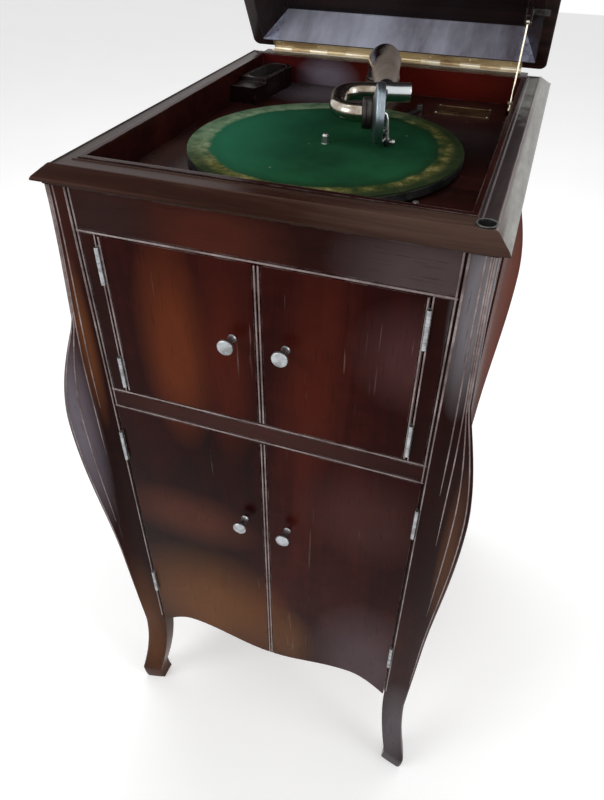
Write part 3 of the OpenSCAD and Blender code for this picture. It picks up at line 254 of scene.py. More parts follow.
def wood(name, grain, dark, mid, light, tone_and_reflection_zones=(), wear=0.5, worn=(0.20, 0.15, 0.125), gloss=0.2,
         nicks=0.6, streaky=0.34):
    """Polished mahogany: long streaks along the grain, pores, rubbed edges and small nicks."""
    n = Nodes(name)
    broad = n.noise(6.0, detail=3, rough=0.55, stretch=stretched(grain, 5), distortion=0.6)
    streak = n.noise(70.0, detail=6, rough=0.62, stretch=STRETCH[grain], distortion=0.4)
    pores = n.noise(620.0, detail=3, rough=0.7, stretch=stretched(grain, 0.8))
    mottle = n.noise(26.0, detail=4, rough=0.6, stretch=(1, 1, 1.8))
    tone = n.math("ADD", n.math("MULTIPLY", broad, 0.86 - streaky), n.math("MULTIPLY", streak, streaky))
    tone = n.math("ADD", tone, n.math("MULTIPLY", mottle, 0.14))
    colour = n.ramp(tone, (0.38, dark), (0.50, mid), (0.62, light))
    # zones of wood tone and of painted reflection in the polish, laid into the base colour
    colour = n.painted(colour, tone_and_reflection_zones, broad)
    colour = n.mix(n.ramp(pores, (0.30, 0.4), (0.42, 0.0)), colour, tuple(c * 0.5 for c in dark))
    rubbed = n.math("MULTIPLY", n.rubbed(0.0018), wear, clamp=True)
    if nicks:
        spots = n.cells(24.0, stretch=(1.0, 1.0, 0.6))
        rare = n.noise(11.0, detail=1)
        nick = n.math("MULTIPLY", n.ramp(spots, (0.020, 1.0), (0.034, 0.0)),
                      n.ramp(rare, (0.53, 0.0), (0.56, 1.0)))
        lines = n.noise(260.0, detail=2, rough=0.5, stretch=(1, 1, 0.03))
        scratch = n.math("MULTIPLY", n.ramp(lines, (0.70, 0.0), (0.73, 0.4)),
                         n.ramp(rare, (0.50, 0.0), (0.60, 1.0)))
        rubbed = n.math("MAXIMUM", rubbed, n.math("MULTIPLY", n.math("MAXIMUM", nick, scratch), nicks))
    n.set(Base_Color=n.mix(rubbed, colour, worn))
    smear = n.noise(5.0, detail=3, rough=0.6)
    rough = n.math("ADD", n.ramp(smear, (0.35, gloss), (0.65, gloss + 0.14)), n.math("MULTIPLY", rubbed, 0.3))
    n.set(Roughness=rough, Specular_IOR_Level=WOOD_SHINE, Specular_Tint=POLISH)
    relief = n.math("ADD", n.math("MULTIPLY", pores, 0.5), n.math("MULTIPLY", streak, 0.5))
    n.bump(relief, 0.2, 0.0003, radius=0.0012)
    return n.material


def moulding_wood(name, grain, base, streak_colour, amount, tone_and_reflection_zones=()):
    """The top moulding's rubbed finish: long grey-brown streaks over dark wood."""
    n = Nodes(name)
    ground = n.noise(24.0, detail=5, rough=0.6, stretch=STRETCH[grain])
    colour = n.ramp(ground, (0.38, tuple(c * 0.55 for c in base)), (0.62, tuple(c * 1.6 for c in base)))
    # zones of wood tone and of painted reflection in the polish, laid into the base colour
    colour = n.painted(colour, tone_and_reflection_zones, ground)
    streaks = n.noise(110.0, detail=7, rough=0.74, stretch=stretched(grain, 0.7), distortion=0.5)
    patches = n.noise(10.0, detail=4, rough=0.6, stretch=stretched(grain, 6))
    worn = n.math("MULTIPLY", n.ramp(streaks, (0.46, 0.0), (0.62, 1.0)),
                  n.ramp(patches, (0.42, 0.0), (0.60, 1.0)))
    edge = n.math("MULTIPLY", n.ramp(n.edge(0.0022), (0.03, 0.0), (0.16, 1.0)),
                  n.ramp(streaks, (0.40, 0.1), (0.56, 1.0)))
    worn = n.math("MAXIMUM", n.math("MULTIPLY", worn, amount), n.math("MULTIPLY", edge, 0.35 + amount * 0.6))
    n.set(Base_Color=n.mix(worn, colour, streak_colour))
    n.set(Roughness=n.math("ADD", 0.26, n.math("MULTIPLY", worn, 0.26)), Specular_IOR_Level=0.08,
          Specular_Tint=POLISH)
    n.bump(streaks, 0.25, 0.0004, radius=0.0014)
    return n.material


def worn_sheen_moulding(name):
    """The right side's moulding: dark polished ledge, grey at the back and all along its slope, partly wear
    and partly a painted sheen.
    """
    n = Nodes(name)
    wander = n.math("MULTIPLY", n.math("SUBTRACT", n.noise(30.0, detail=4), 0.5), 0.003)
    across = n.math("MULTIPLY", n.math("ADD", n.axis("X"), wander), 4.0)
    streaks = n.noise(90.0, detail=7, rough=0.7, stretch=stretched("Y", 2), distortion=0.4)
    cloud = n.noise(20.0, detail=5, rough=0.65)
    dark = n.ramp(streaks, (0.35, (0.0085, 0.0042, 0.0048)), (0.65, (0.022, 0.012, 0.013)))
    grey = n.ramp(n.math("ADD", n.math("MULTIPLY", streaks, 0.5), n.math("MULTIPLY", cloud, 0.5)),
                  (0.36, (0.150, 0.145, 0.136)), (0.62, (0.360, 0.360, 0.338)))
    slope = n.ramp(across, (0.830, 0.0), (0.842, 1.0))
    back_y = at(0, 90, 0).y
    back = n.math("ADD", n.math("SUBTRACT", n.axis("Y"), back_y),
                  n.math("MULTIPLY", n.math("SUBTRACT", cloud, 0.5), 0.3))
    back = n.ramp(n.math("ADD", n.math("MULTIPLY", back, 10.0), 0.5), (0.0, 0.0), (1.0, 0.75))
    front_y = at(0, -150, 0).y
    fore = n.ramp(n.math("MULTIPLY", n.math("SUBTRACT", front_y, n.axis("Y")), 10.0), (0.0, 0.0), (1.0, 0.8))
    strip = n.math("MULTIPLY", fore, n.ramp(across, (0.846, 1.0), (0.856, 0.0)))
    # the slope and the back turn grey: partly wear, partly a painted sheen
    colour = n.mix(n.math("MAXIMUM", slope, back), dark, grey)
    colour = n.mix(n.math("MULTIPLY", strip, slope), colour, (0.040, 0.018, 0.013))
    line = n.ramp(n.math("ABSOLUTE", n.math("SUBTRACT", across, 0.828)), (0.002, 1.0), (0.005, 0.0))
    edge = n.ramp(n.edge(0.0016), (0.03, 0.0), (0.16, 0.6))
    colour = n.mix(n.math("MAXIMUM", n.math("MULTIPLY", line, 0.8), edge), colour, (0.285, 0.240, 0.235))
    n.set(Base_Color=colour, Roughness=n.ramp(cloud, (0.3, 0.26), (0.7, 0.48)), Specular_IOR_Level=0.16)
    n.set(Specular_Tint=POLISH)
    n.bump(streaks, 0.25, 0.0004, radius=0.0014)
    return n.material


def bead_wood(name):
    """The small rounded beads, rubbed pale along most of their length."""
    n = Nodes(name)
    long = n.noise(22.0, detail=4, rough=0.6)
    fine = n.noise(240.0, detail=4, rough=0.7)
    worn = n.math("MULTIPLY", n.ramp(long, (0.34, 0.15), (0.60, 1.0)),
                  n.ramp(fine, (0.30, 0.45), (0.62, 1.0)))
    n.set(Base_Color=n.mix(worn, (0.090, 0.050, 0.046), (0.42, 0.34, 0.33)), Roughness=0.3)
    n.set(Specular_IOR_Level=0.3, Coat_Weight=0.15, Coat_Roughness=0.1)
    n.bump(fine, 0.2, 0.0003)
    return n.material


def lid_wood(name):
    """Dark inside, with a painted lilac reflection on the back wall of the tray and pale worn corners."""
    n = Nodes(name)
    turn = n.tree.nodes.new("ShaderNodeMapping")
    swing = Matrix.Rotation(math.radians(LID_OPEN), 3, "X")
    turn.inputs["Rotation"].default_value = (math.radians(LID_OPEN), 0, 0)
    turn.inputs["Location"].default_value = -(swing @ at(*LID_HINGE))
    n.link(n.place, turn.inputs["Vector"])
    closed = turn.outputs["Vector"]
    grain = n.noise(70.0, detail=6, rough=0.62, stretch=(0.05, 1, 1), place=closed)
    colour = n.ramp(grain, (0.36, (0.0075, 0.0036, 0.0034)), (0.64, (0.026, 0.0105, 0.0085)))
    # distance from the plane of the sloping back wall
    plane = n.tree.nodes.new("ShaderNodeVectorMath")
    plane.operation = "DOT_PRODUCT"
    plane.inputs[1].default_value = (0, -0.990, -0.139)
    n.link(closed, plane.inputs[0])
    off = n.math("ABSOLUTE", n.math("SUBTRACT", plane.outputs["Value"], 0.01354))
    wall = n.ramp(n.math("MULTIPLY", off, 500.0), (0.5, 1.0), (0.9, 0.0))
    height = n.axis("Z", closed)
    wall = n.math("MULTIPLY", wall, n.ramp(n.math("MULTIPLY", height, 10.0), (0.004, 0.0), (0.012, 1.0)))
    across = n.axis("X", closed)
    down = n.noise(60.0, detail=6, rough=0.7, stretch=(1, 0.2, 0.2), place=closed)
    cloud = n.noise(12.0, detail=4, rough=0.6, stretch=(1, 0.6, 0.6), place=closed)
    # painted reflection: bands of lilac light across the sloping back wall, which faces up to the light with
    # the lid open
    painted_sheen = n.ramp(n.math("ADD", across, 0.2), (0.0, 0.45), (0.10, 0.60), (0.17, 0.75), (0.22, 0.28),
                   (0.27, 0.45), (0.33, 0.12))
    painted_sheen = n.math("ADD", painted_sheen, n.math("MULTIPLY", n.math("SUBTRACT", cloud, 0.5), 1.0))
    painted_sheen = n.math("ADD", painted_sheen, n.math("MULTIPLY", n.math("SUBTRACT", down, 0.5), 0.5), clamp=True)
    reflection_lilac = n.mix(painted_sheen, (0.060, 0.034, 0.044), (0.72, 0.76, 0.92))
    colour = n.mix(wall, colour, reflection_lilac)
    ends = n.ramp(n.math("ABSOLUTE", across), (0.1705, 0.0), (0.1735, 1.0))
    pale = n.ramp(n.noise(120.0, detail=6, rough=0.75, place=closed), (0.40, (0.20, 0.20, 0.27)),
                  (0.62, (0.52, 0.56, 0.74)))
    colour = n.mix(n.math("MULTIPLY", n.math("MULTIPLY", ends, wall), 0.85), colour, pale)
    n.set(Base_Color=n.mix(n.math("MULTIPLY", n.rubbed(0.0022), 0.7), colour, (0.17, 0.15, 0.16)))
    n.set(Roughness=n.ramp(cloud, (0.35, 0.2), (0.65, 0.36)), Specular_IOR_Level=0.2, Coat_Weight=0.12,
          Coat_Roughness=0.1)
    n.bump(grain, 0.2, 0.0003, radius=0.0014)
    return n.material


def metal(name, colour, tarnish, rough=(0.16, 0.36), scale=60.0, patches=(0.42, 0.62), stretch=(1, 1, 1),
          radius=0.0006):
    """Plated or bare metal with tarnish in patches and fine rub marks."""
    n = Nodes(name)
    cloud = n.noise(scale, detail=5, rough=0.65, stretch=stretch)
    dirt = n.ramp(cloud, (patches[0], 0.0), (patches[1], 1.0))
    n.set(Base_Color=n.mix(dirt, colour, tarnish), Metallic=1.0)
    fine = n.noise(scale * 14, detail=3, rough=0.6, stretch=stretch)
    n.set(Roughness=n.math("ADD", n.ramp(cloud, (0.3, rough[0]), (0.7, rough[1])),
                           n.math("MULTIPLY", fine, 0.08)))
    n.bump(fine, 0.12, 0.0002, radius=radius)
    return n.material


def felt(name):
    """Green felt, painted lighter towards the left where more light falls, with a border pale at the left and
    back, gold and torn at the right and front.
    """
    n = Nodes(name)
    shift = n.tree.nodes.new("ShaderNodeVectorMath")
    shift.operation = "SUBTRACT"
    shift.inputs[1].default_value = SPINDLE
    n.link(n.place, shift.inputs[0])
    flat = n.scaled((1, 1, 0), place=shift.outputs[0])
    length = n.tree.nodes.new("ShaderNodeVectorMath")
    length.operation = "LENGTH"
    n.link(flat, length.inputs[0])
    wobble = n.math("MULTIPLY", n.math("SUBTRACT", n.noise(30.0, detail=6, rough=0.65), 0.5), 0.016)
    radius = n.math("MULTIPLY", n.math("ADD", length.outputs["Value"], wobble), 5.0)
    tone = n.noise(13.0, detail=5, rough=0.6)
    green = n.ramp(tone, (0.35, (0.0075, 0.045, 0.019)), (0.65, (0.0135, 0.085, 0.035)))
    # painted light: the green grows lighter towards the left, where more light falls
    painted_light_left = n.math("MULTIPLY", n.axis("X", shift.outputs[0]), -6.0, clamp=True)
    green = n.mix(painted_light_left, green, (0.024, 0.165, 0.092))
    halo = n.math("MULTIPLY", n.ramp(radius, (0.56, 0.0), (0.62, 0.6)), n.math("SUBTRACT", 1.0, painted_light_left))
    green = n.mix(halo, green, (0.0095, 0.028, 0.009))
    cloud = n.noise(60.0, detail=6, rough=0.72)
    gold = n.ramp(cloud, (0.36, (0.020, 0.040, 0.012)), (0.50, (0.080, 0.085, 0.024)),
                  (0.66, (0.26, 0.23, 0.085)))
    pale = n.ramp(cloud, (0.36, (0.080, 0.155, 0.085)), (0.62, (0.235, 0.335, 0.205)))
    left_back = n.math("ADD", n.math("MULTIPLY", n.axis("X", shift.outputs[0]), -3.6),
                       n.math("MULTIPLY", n.axis("Y", shift.outputs[0]), 3.0))
    border = n.mix(n.ramp(left_back, (0.0, 0.0), (0.45, 1.0)), gold, pale)
    rim = n.math("MULTIPLY", n.ramp(radius, (0.680, 0.0), (0.720, 0.9)),
                 n.ramp(left_back, (0.0, 1.0), (0.3, 0.35)))
    border = n.mix(rim, border, (0.016, 0.029, 0.012))
    colour = n.mix(n.ramp(radius, (0.628, 0.0), (0.648, 1.0)), green, border)
    fuzz = n.noise(900.0, detail=3, rough=0.8)
    colour = n.mix(0.3, colour, n.ramp(fuzz, (0.3, 0.3), (0.7, 1.0)), kind="MULTIPLY")
    torn = n.ramp(n.noise(80.0, detail=6, rough=0.75), (0.62, 0.0), (0.66, 1.0))
    torn = n.math("MULTIPLY", torn, n.ramp(radius, (0.62, 0.0), (0.66, 0.9)))
    colour = n.mix(torn, colour, (0.020, 0.022, 0.012))
    lint = n.ramp(n.cells(36.0), (0.030, 0.55), (0.045, 0.0))
    lint = n.math("MULTIPLY", lint, n.ramp(n.noise(17.0, detail=1), (0.58, 0.0), (0.60, 1.0)))
    n.set(Base_Color=n.mix(lint, colour, (0.42, 0.48, 0.42)), Roughness=0.95, Specular_IOR_Level=0.04)
    n.bump(fuzz, 0.5, 0.0007)
    return n.material


def nickel_arm(name):
    """The arm's plating: bright on its left flank and its sleeve, worn to dull taupe on its right."""
    n = Nodes(name)
    cloud = n.noise(34.0, detail=5, rough=0.65)
    side = n.math("ADD", n.math("SUBTRACT", n.axis("X"), at(ARM_X + 6, 0, 0).x),
                  n.math("MULTIPLY", n.math("SUBTRACT", cloud, 0.5), 0.02))
    dull = n.ramp(n.math("ADD", n.math("MULTIPLY", side, 60.0), 0.5), (0.2, 0.0), (0.8, 1.0))
    sleeve = n.ramp(n.math("SUBTRACT", at(0, 66, 0).y, n.axis("Y")), (0.0, 0.0), (0.004, 1.0))
    dull = n.math("MULTIPLY", dull, n.math("SUBTRACT", 1.0, sleeve))
    plated = n.mix(n.ramp(cloud, (0.42, 0.0), (0.62, 1.0)), (0.40, 0.37, 0.33), (0.24, 0.205, 0.165))
    bare = n.mix(n.ramp(cloud, (0.40, 0.0), (0.60, 1.0)), (0.46, 0.38, 0.33), (0.34, 0.27, 0.23))
    n.set(Base_Color=n.mix(dull, n.mix(sleeve, plated, (0.60, 0.635, 0.65)), bare))
    n.set(Metallic=n.math("SUBTRACT", 1.0, n.math("MULTIPLY", dull, 0.55)))
    n.set(Roughness=n.math("ADD", n.ramp(cloud, (0.3, 0.14), (0.7, 0.26)), n.math("MULTIPLY", dull, 0.26)))
    n.bump(n.noise(500.0, detail=3), 0.1, 0.0002, radius=0.0006)
    return n.material


def plain_floor():
    """Pale floor; what the camera sees of it is lifted so that it meets the white background."""
    n = Nodes("floor")
    soft = n.noise(3.0, detail=2)
    colour = n.ramp(soft, (0.3, (0.80, 0.80, 0.80)), (0.7, (0.83, 0.83, 0.83)))
    n.set(Base_Color=colour, Roughness=0.75, Specular_IOR_Level=0.05)
    path = n.tree.nodes.new("ShaderNodeLightPath")
    seen = n.math("ADD", path.outputs["Is Camera Ray"], path.outputs["Is Glossy Ray"])
    seen = n.math("ADD", seen, path.outputs["Is Transmission Ray"], clamp=True)
    n.set(Emission_Color=(1, 1, 1), Emission_Strength=n.math("MULTIPLY", seen, FLOOR_LIFT))
    return n.material


# ---------------------------------------------------------------- mesh helpers
def piece(name, body, material, verts, faces, smooth=35.0, slot=None):
    """A mesh piece in the row frame that rides on a body."""
    mesh = bpy.data.meshes.new(name)
    mesh.from_pydata([tuple(v) for v in verts], [], faces)
    mesh.validate()
    work = bmesh.new()
    work.from_mesh(mesh)
    bmesh.ops.recalc_face_normals(work, faces=work.faces)
    work.to_mesh(mesh)
    work.free()
    for polygon in mesh.polygons:
        polygon.use_smooth = True
    obj = bpy.data.objects.new(name, mesh)
    bpy.context.scene.collection.objects.link(obj)
    if smooth < 180:
        mark_sharp(mesh, math.radians(smooth))
    mesh.materials.append(material)
    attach(obj, body)
    return obj


def mark_sharp(mesh, angle):
    work = bmesh.new()
    work.from_mesh(mesh)
    for edge in work.edges:
        if len(edge.link_faces) == 2 and edge.calc_face_angle(0) > angle:
            edge.smooth = False
    work.to_mesh(mesh)
    work.free()


def bevelled(obj, width, segments=2, angle=35.0):
    mod = obj.modifiers.new("edges", "BEVEL")
    mod.width = width * MM
    mod.segments = segments
    mod.limit_method = "ANGLE"
    mod.angle_limit = math.radians(angle)
    mod.harden_normals = True
    return obj


def loft(rings, closed=True, caps=True):
    """Vertices and faces through rings of equal length."""
    n = len(rings[0])
    verts = [v for ring in rings for v in ring]
    faces = []
    for k in range(len(rings) - 1):
        for j in range(n if closed else n - 1):
            a, b = k * n + j, k * n + (j + 1) % n
            faces.append((a, b, b + n, a + n))
    if caps:
        faces.append(tuple(range(n - 1, -1, -1)))
        faces.append(tuple((len(rings) - 1) * n + j for j in range(n)))
    return verts, faces


def circle_points(centre, u, v, radius, count):
    return [centre + (u * math.cos(t) + v * math.sin(t)) * radius
            for t in (2 * math.pi * k / count for k in range(count))]


def lathe(profile, place, axis, count=48):
    """Rings of (distance along the axis, radius) round an axis, distances in millimetres."""
    axis = axis.normalized()
    u = axis.orthogonal().normalized()
    v = axis.cross(u)
    return loft([circle_points(place + axis * d * MM, u, v, max(r, 0.01) * MM, count) for d, r in profile])


def tube(path, radii, count=32):
    """A round tube through path points, with a frame carried along so that it doesn't twist."""
    tangents = []
    for k in range(len(path)):
        a, b = path[max(k - 1, 0)], path[min(k + 1, len(path) - 1)]
        tangents.append((b - a).normalized())
    u = tangents[0].orthogonal().normalized()
    rings = []
    for p, t, r in zip(path, tangents, radii):
        u = (u - t * u.dot(t)).normalized()
        rings.append(circle_points(p, u, t.cross(u), r, count))
    return loft(rings)


def merged(*parts):
    verts, faces = [], []
    for part_verts, part_faces in parts:
        start = len(verts)
        verts += list(part_verts)
        faces += [tuple(i + start for i in f) for f in part_faces]
    return verts, faces


# ---------------------------------------------------------------- posts
def smoothstep(t):
    t = min(max(t, 0.0), 1.0)
    return t * t * (3 - 2 * t)


def ease(z):
    return EASE * smoothstep((POST_TOP - z) / EASE_LEN)


def fin(z):
    if z >= FIN_Z:
        return FIN * math.cos(math.radians(90 * (z - FIN_Z) / FIN_UP)) if z < FIN_Z + FIN_UP else 0.0
    bell, tail = (math.cos(math.radians(90 * min((FIN_Z - z) / length, 1.0)))
                  for length in (FIN_DOWN, FIN_TAIL))
    return FIN * ((1 - TAIL_SHARE) * bell ** 2 + TAIL_SHARE * tail)


def flare(z):
    if z >= APRON_Z:
        return 0.0
    if z >= TOE_Z:
        return FLARE * ((APRON_Z - z) / (APRON_Z - TOE_Z)) ** 2
    return FLARE - 2.5 * ((TOE_Z - z) / TOE_Z) ** 2


def post_ring(z):
    i, w = flare(z), POST_W
    c = ease(z) + i
    s = c + fin(z)
    x, y = POST_X, POST_Y
    half = [(x + i - w, y + i - w), (x + i, y + i - w), (x + i + (c - i) * 0.45, y + i - w * 0.6),
            (x + c, y + c - FIN_ROOT), (x + s, y + s - FIN_EDGE)]
    # the other half is the first one mirrored in the post's diagonal
    rest = [(POST_X + (b - POST_Y), POST_Y + (a - POST_X)) for a, b in half[:0:-1]]
    return half + rest


def make_posts(material):
    step = 6.0
    heights = [k * step for k in range(int(POST_TOP / step))] + [POST_TOP]
    for sx, side in ((-1, "left"), (1, "right")):
        for sy, end in ((-1, "front"), (1, "back")):
            rings = [[at(sx * a, sy * b, z) for a, b in post_ring(z)] for z in heights]
            verts, faces = loft(rings)
            obj = piece(f"smooth_post_{end}_{side}", "case", material, verts, faces, smooth=180,
                        slot="mahogany")
            bevelled(obj, 0.9, angle=28)
            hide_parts(f"post_{end}_{side}")


def half_round(a, b, across, out, radius):
    """A half-round bead from a to b, standing out of a face."""
    arc = [math.pi * k / 8 for k in range(9)]
    along = (b - a).normalized() * 1.2 * MM
    rings = []
    for place, size in ((a, 0.35), (a + along, 1.0), (b - along, 1.0), (b, 0.35)):
        rings.append([place + across * (radius * MM * math.cos(t))
                      + out * (size * radius * MM * math.sin(t) - 0.2 * MM) for t in arc])
    return loft(rings)


def post_bead(sx, share, radius, low):
    """A bead down a front post from its top to low.

    The share runs from the post's flat (0) to its fin's root (1) and tip (2).
    """
    steps = 40
    rings = []
    for k in range(steps + 1):
        z = low + (POST_TOP - low) * k / steps
        flat, root, tip = post_ring(z)[-2], post_ring(z)[-3], post_ring(z)[-4]
        (ax, ay), (bx, by), t = (flat, root, share) if share < 1 else (root, tip, share - 1)
        place = at(sx * (ax + (bx - ax) * t), -(ay + (by - ay) * t), z)
        size = radius * MM * min(1.0, 0.2 + k / 8)
        rings.append([place + Vector((size * math.cos(q), -size * (math.sin(q) - 0.15), 0))
                      for q in (math.pi * j / 6 for j in range(7))])
    return loft(rings)


def flat_strip(a, b, across, out, half):
    """A thin strip that lies on a face from a to b."""
    corners = ((-1, -0.1), (-1, 0.12), (1, 0.12), (1, -0.1))
    rings = [[p + across * (w * half * MM) + out * (h * MM) for w, h in corners] for p in (a, b)]
    return loft(rings)


def make_beads(material, shadow):
    """Half-round beads on posts, rails and door edges, with near-black strips beside those of the posts as
    painted shade in their grooves.
    """
    right, up, front = Vector((1, 0, 0)), Vector((0, 0, 1)), Vector((0, -1, 0))
    rail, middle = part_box("top_rail"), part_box("middle_rail")
    top_low, mid_high, mid_low = (z / MM for z in (rail[0].z, middle[1].z, middle[0].z))
    inner, stile = middle[1].x / MM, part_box("door_stiles")[1].x / MM - 21

    def upright(x, low, high, radius):
        return half_round(at(x, -POST_Y, low), at(x, -POST_Y, high), right, front, radius)

    fixed, groove_shade_strips = [], []
    for s in (-1, 1):
        fixed.append(upright(s * (inner + 2.6), BEAD_FOOT, POST_TOP, 1.2))
        fixed.append(upright(s * (inner - 1.8), mid_low, POST_TOP, 0.9))
        fixed += [post_bead(s, share, 0.8, low) for share, low in POST_BEADS]
        fixed.append(upright(s * (stile + 0.9), mid_high, top_low, 0.8))
        # near-black flat strips beside the posts' beads: painted shade of the grooves
        groove_shade_x = s * (inner + 0.3)
        groove_shade_strips.append(flat_strip(at(groove_shade_x, -POST_Y, BEAD_FOOT), at(groove_shade_x, -POST_Y, POST_TOP), right,
                                 front, 1.0))
        fixed.append(half_round(at(s * POST_X, SIDE_BEAD_Y, BEAD_FOOT), at(s * POST_X, SIDE_BEAD_Y, POST_TOP),
                                Vector((0, 1, 0)), right * s, 1.2))
    for z in (top_low + 1.5, mid_high - 1.5, mid_low + 1.5):
        fixed.append(half_round(at(-inner, -POST_Y, z), at(inner, -POST_Y, z), up, front, 1.0))
    piece("beads_case", "case", material, *merged(*fixed), smooth=50, slot="mahogany")
    piece("painted_groove_shade_case", "case", shadow, *merged(*groove_shade_strips), smooth=50, slot="mahogany")
    for s, side in ((-1, "left"), (1, "right")):
        for level, low, high in (("upper", mid_high + 2, top_low - 2), ("lower", APRON_Z + 14, mid_low - 2)):
            lines = [upright(DOOR_MID + s * 2.0, low, high, 0.9)]
            if level == "upper":
                lines.append(upright(s * (stile - 3.4), low, high, 0.9))
            piece(f"beads_{level}_{side}", f"{level}_{side}_door", material, *merged(*lines), smooth=50,
                  slot="door_veneer")


# ---------------------------------------------------------------- hardware
def make_knobs(material):
    profile = [(0, 4.9), (0.6, 4.9), (1.2, 4.4), (2.4, 4.0), (3.6, 3.8), (5.5, 3.6), (8.5, 3.7), (11.0, 4.4),
               (13.0, 6.0), (14.4, 7.8), (15.4, 8.6), (16.2, 8.8), (18.0, 8.8), (18.8, 8.4), (19.3, 7.6),
               (19.5, 6.9), (20.2, 5.2), (20.8, 3.0), (21.0, 0.3)]
    for sx, side in ((-1, "left"), (1, "right")):
        for level, z in KNOB_Z.items():
            verts, faces = lathe(profile, at(sx * KNOB_X + DOOR_MID, -POST_Y, z), Vector((0, -1, 0)))
            obj = piece(f"turned_knob_{level}_{side}", f"{level}_{side}_door", material, verts, faces,
                        smooth=60, slot="knob_metal")
            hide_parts(f"knob_{level}_{side}")


def screw_head(place, axis, radius):
    """A low domed screw head; place and axis in the row frame."""
    axis = axis.normalized()
    return lathe([(-0.6, radius), (0.15, radius), (0.4, radius * 0.85), (0.55, radius * 0.5), (0.6, 0.02)],
                 place, axis, count=20)


def lid_point(x, back, up):
    """A point given beside the hinge with the lid closed, in the row frame with the lid open."""
    hinge = at(*LID_HINGE)
    a = math.radians(LID_OPEN)
    y, z = back * MM, up * MM
    return hinge + Vector((x * MM, y * math.cos(a) + z * math.sin(a), -y * math.sin(a) + z * math.cos(a)))


def lid_way(back, up):
    a = math.radians(LID_OPEN)
    return Vector((0, back * math.cos(a) + up * math.sin(a), -back * math.sin(a) + up * math.cos(a)))


def make_screws(brass_m):
    """Screws of the long hinge, sunk in its two leaves, and of the small plate."""
    places = range(-165, 166, 55)
    case_heads = [screw_head(at(x, 258.6, LEDGE_Z + 0.75), Vector((0, 0, 1)), 1.9) for x in places]
    verts, faces = merged(*case_heads)
    piece("hinge_screws_case", "case", brass_m, verts, faces, smooth=50, slot="brass")
    lid_heads = [screw_head(lid_point(x, -8.6, 0.6), lid_way(0, -1), 1.9) for x in places]
    verts, faces = merged(*lid_heads)
    piece("hinge_screws_lid", "lid", brass_m, verts, faces, smooth=50, slot="brass")
    low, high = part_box("blank_plate")
    inset = 3 * MM
    corners = [(x, y) for x in (low.x + inset, high.x - inset) for y in (low.y + inset, high.y - inset)]
    verts, faces = merged(*[screw_head(Vector((x, y, high.z)), Vector((0, 0, 1)), 1.3) for x, y in corners])
    piece("plate_screws", "case", brass_m, verts, faces, smooth=50, slot="brass")


# ---------------------------------------------------------------- tone arm, gooseneck and sound box
def arm_point(f, t, z):
    """f towards the front end of the arm, t to its right, z above the floor, in millimetres."""
    a = math.radians(ARM_SWING)
    return at(ARM_X + f * math.sin(a) + t * math.cos(a), ARM_Y - f * math.cos(a) + t * math.sin(a), z)


def arm_way(f, t, z):
    return (arm_point(f, t, z) - arm_point(0, 0, 0)).normalized()


def make_tone_arm(material):
    path, radii = [], []
    bend = 13.0
    column_r = 22.4
    for z in (925.6, 930.0, 933.5):
        path.append(arm_point(0, 0, z))
        radii.append((column_r - (z - 925.6) * 0.08) * MM)
    for k in range(1, 12):
        t = math.pi / 2 * k / 11
        path.append(arm_point(bend - bend * math.cos(t), 0, ARM_Z - bend + bend * math.sin(t)))
        radii.append((21.4 + (ARM_R_BACK - 21.4) * math.sin(t)) * MM)
    for k in range(1, 15):
        u = k / 14
        path.append(arm_point(bend + (ARM_LEN - bend) * u, 0, ARM_Z))
        radii.append((ARM_R_BACK + (ARM_R_FRONT - ARM_R_BACK) * u) * MM)
    arm = tube(path, radii, 40)
    collar = lathe([(0, 18), (0, 22.5), (0.6, 23), (3.0, 23), (3.6, 22.4), (3.7, 16)], arm_point(0, 0, 925.3),
                   Vector((0, 0, 1)))
    sleeve = lathe([(0, 8.1), (0, 10.1), (0.5, 10.5), (3.0, 10.5), (3.2, 10.2), (3.5, 10.2), (3.7, 10.5),
                    (39.5, 10.5), (40.3, 10.1), (SLEEVE_LEN, 9.4), (SLEEVE_LEN, 0.1)],
                   arm_point(ARM_LEN, SLEEVE_LEFT, ARM_Z), arm_way(0, 1, 0))
    verts, faces = merged(arm, collar, sleeve)
    obj = piece("smooth_tone_arm", "arm", material, verts, faces, smooth=40, slot="nickel")
    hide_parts("tone_arm")


def make_gooseneck(material):
    neck_t = BOX_T - BOX_THICK / 2 - COLLAR_LEN - 1.5
    far = ARM_LEN + NECK_SPAN
    path = [arm_point(ARM_LEN, t, ARM_Z) for t in (SLEEVE_LEFT - 0.3, SLEEVE_LEFT - 2, SLEEVE_LEFT - 8)]
    for k in range(13):
        t = math.pi / 2 * k / 12
        path.append(arm_point(ARM_LEN + NECK_BEND * (1 - math.cos(t)), neck_t - NECK_BEND * math.sin(t),
                              ARM_Z))
    for k in range(13):
        t = math.pi / 2 * k / 12
        path.append(arm_point(far - NECK_BEND + NECK_BEND * math.sin(t), neck_t - NECK_BEND * math.cos(t),
                              ARM_Z))
    path.append(arm_point(far, neck_t + 1.2, ARM_Z))
    neck = tube(path, [NECK_R * MM] * len(path), 40)
    ends = [tube([arm_point(f, t, ARM_Z) for t in run], [8.0 * MM] * 2, 28)
            for f, run in ((ARM_LEN, (neck_t, SLEEVE_LEFT + 30)), (far, (neck_t, BOX_T - BOX_THICK / 2)))]
    verts, faces = merged(neck, *ends)
    obj = piece("smooth_gooseneck", "neck", material, verts, faces, smooth=50, slot="nickel")
    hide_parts("gooseneck")


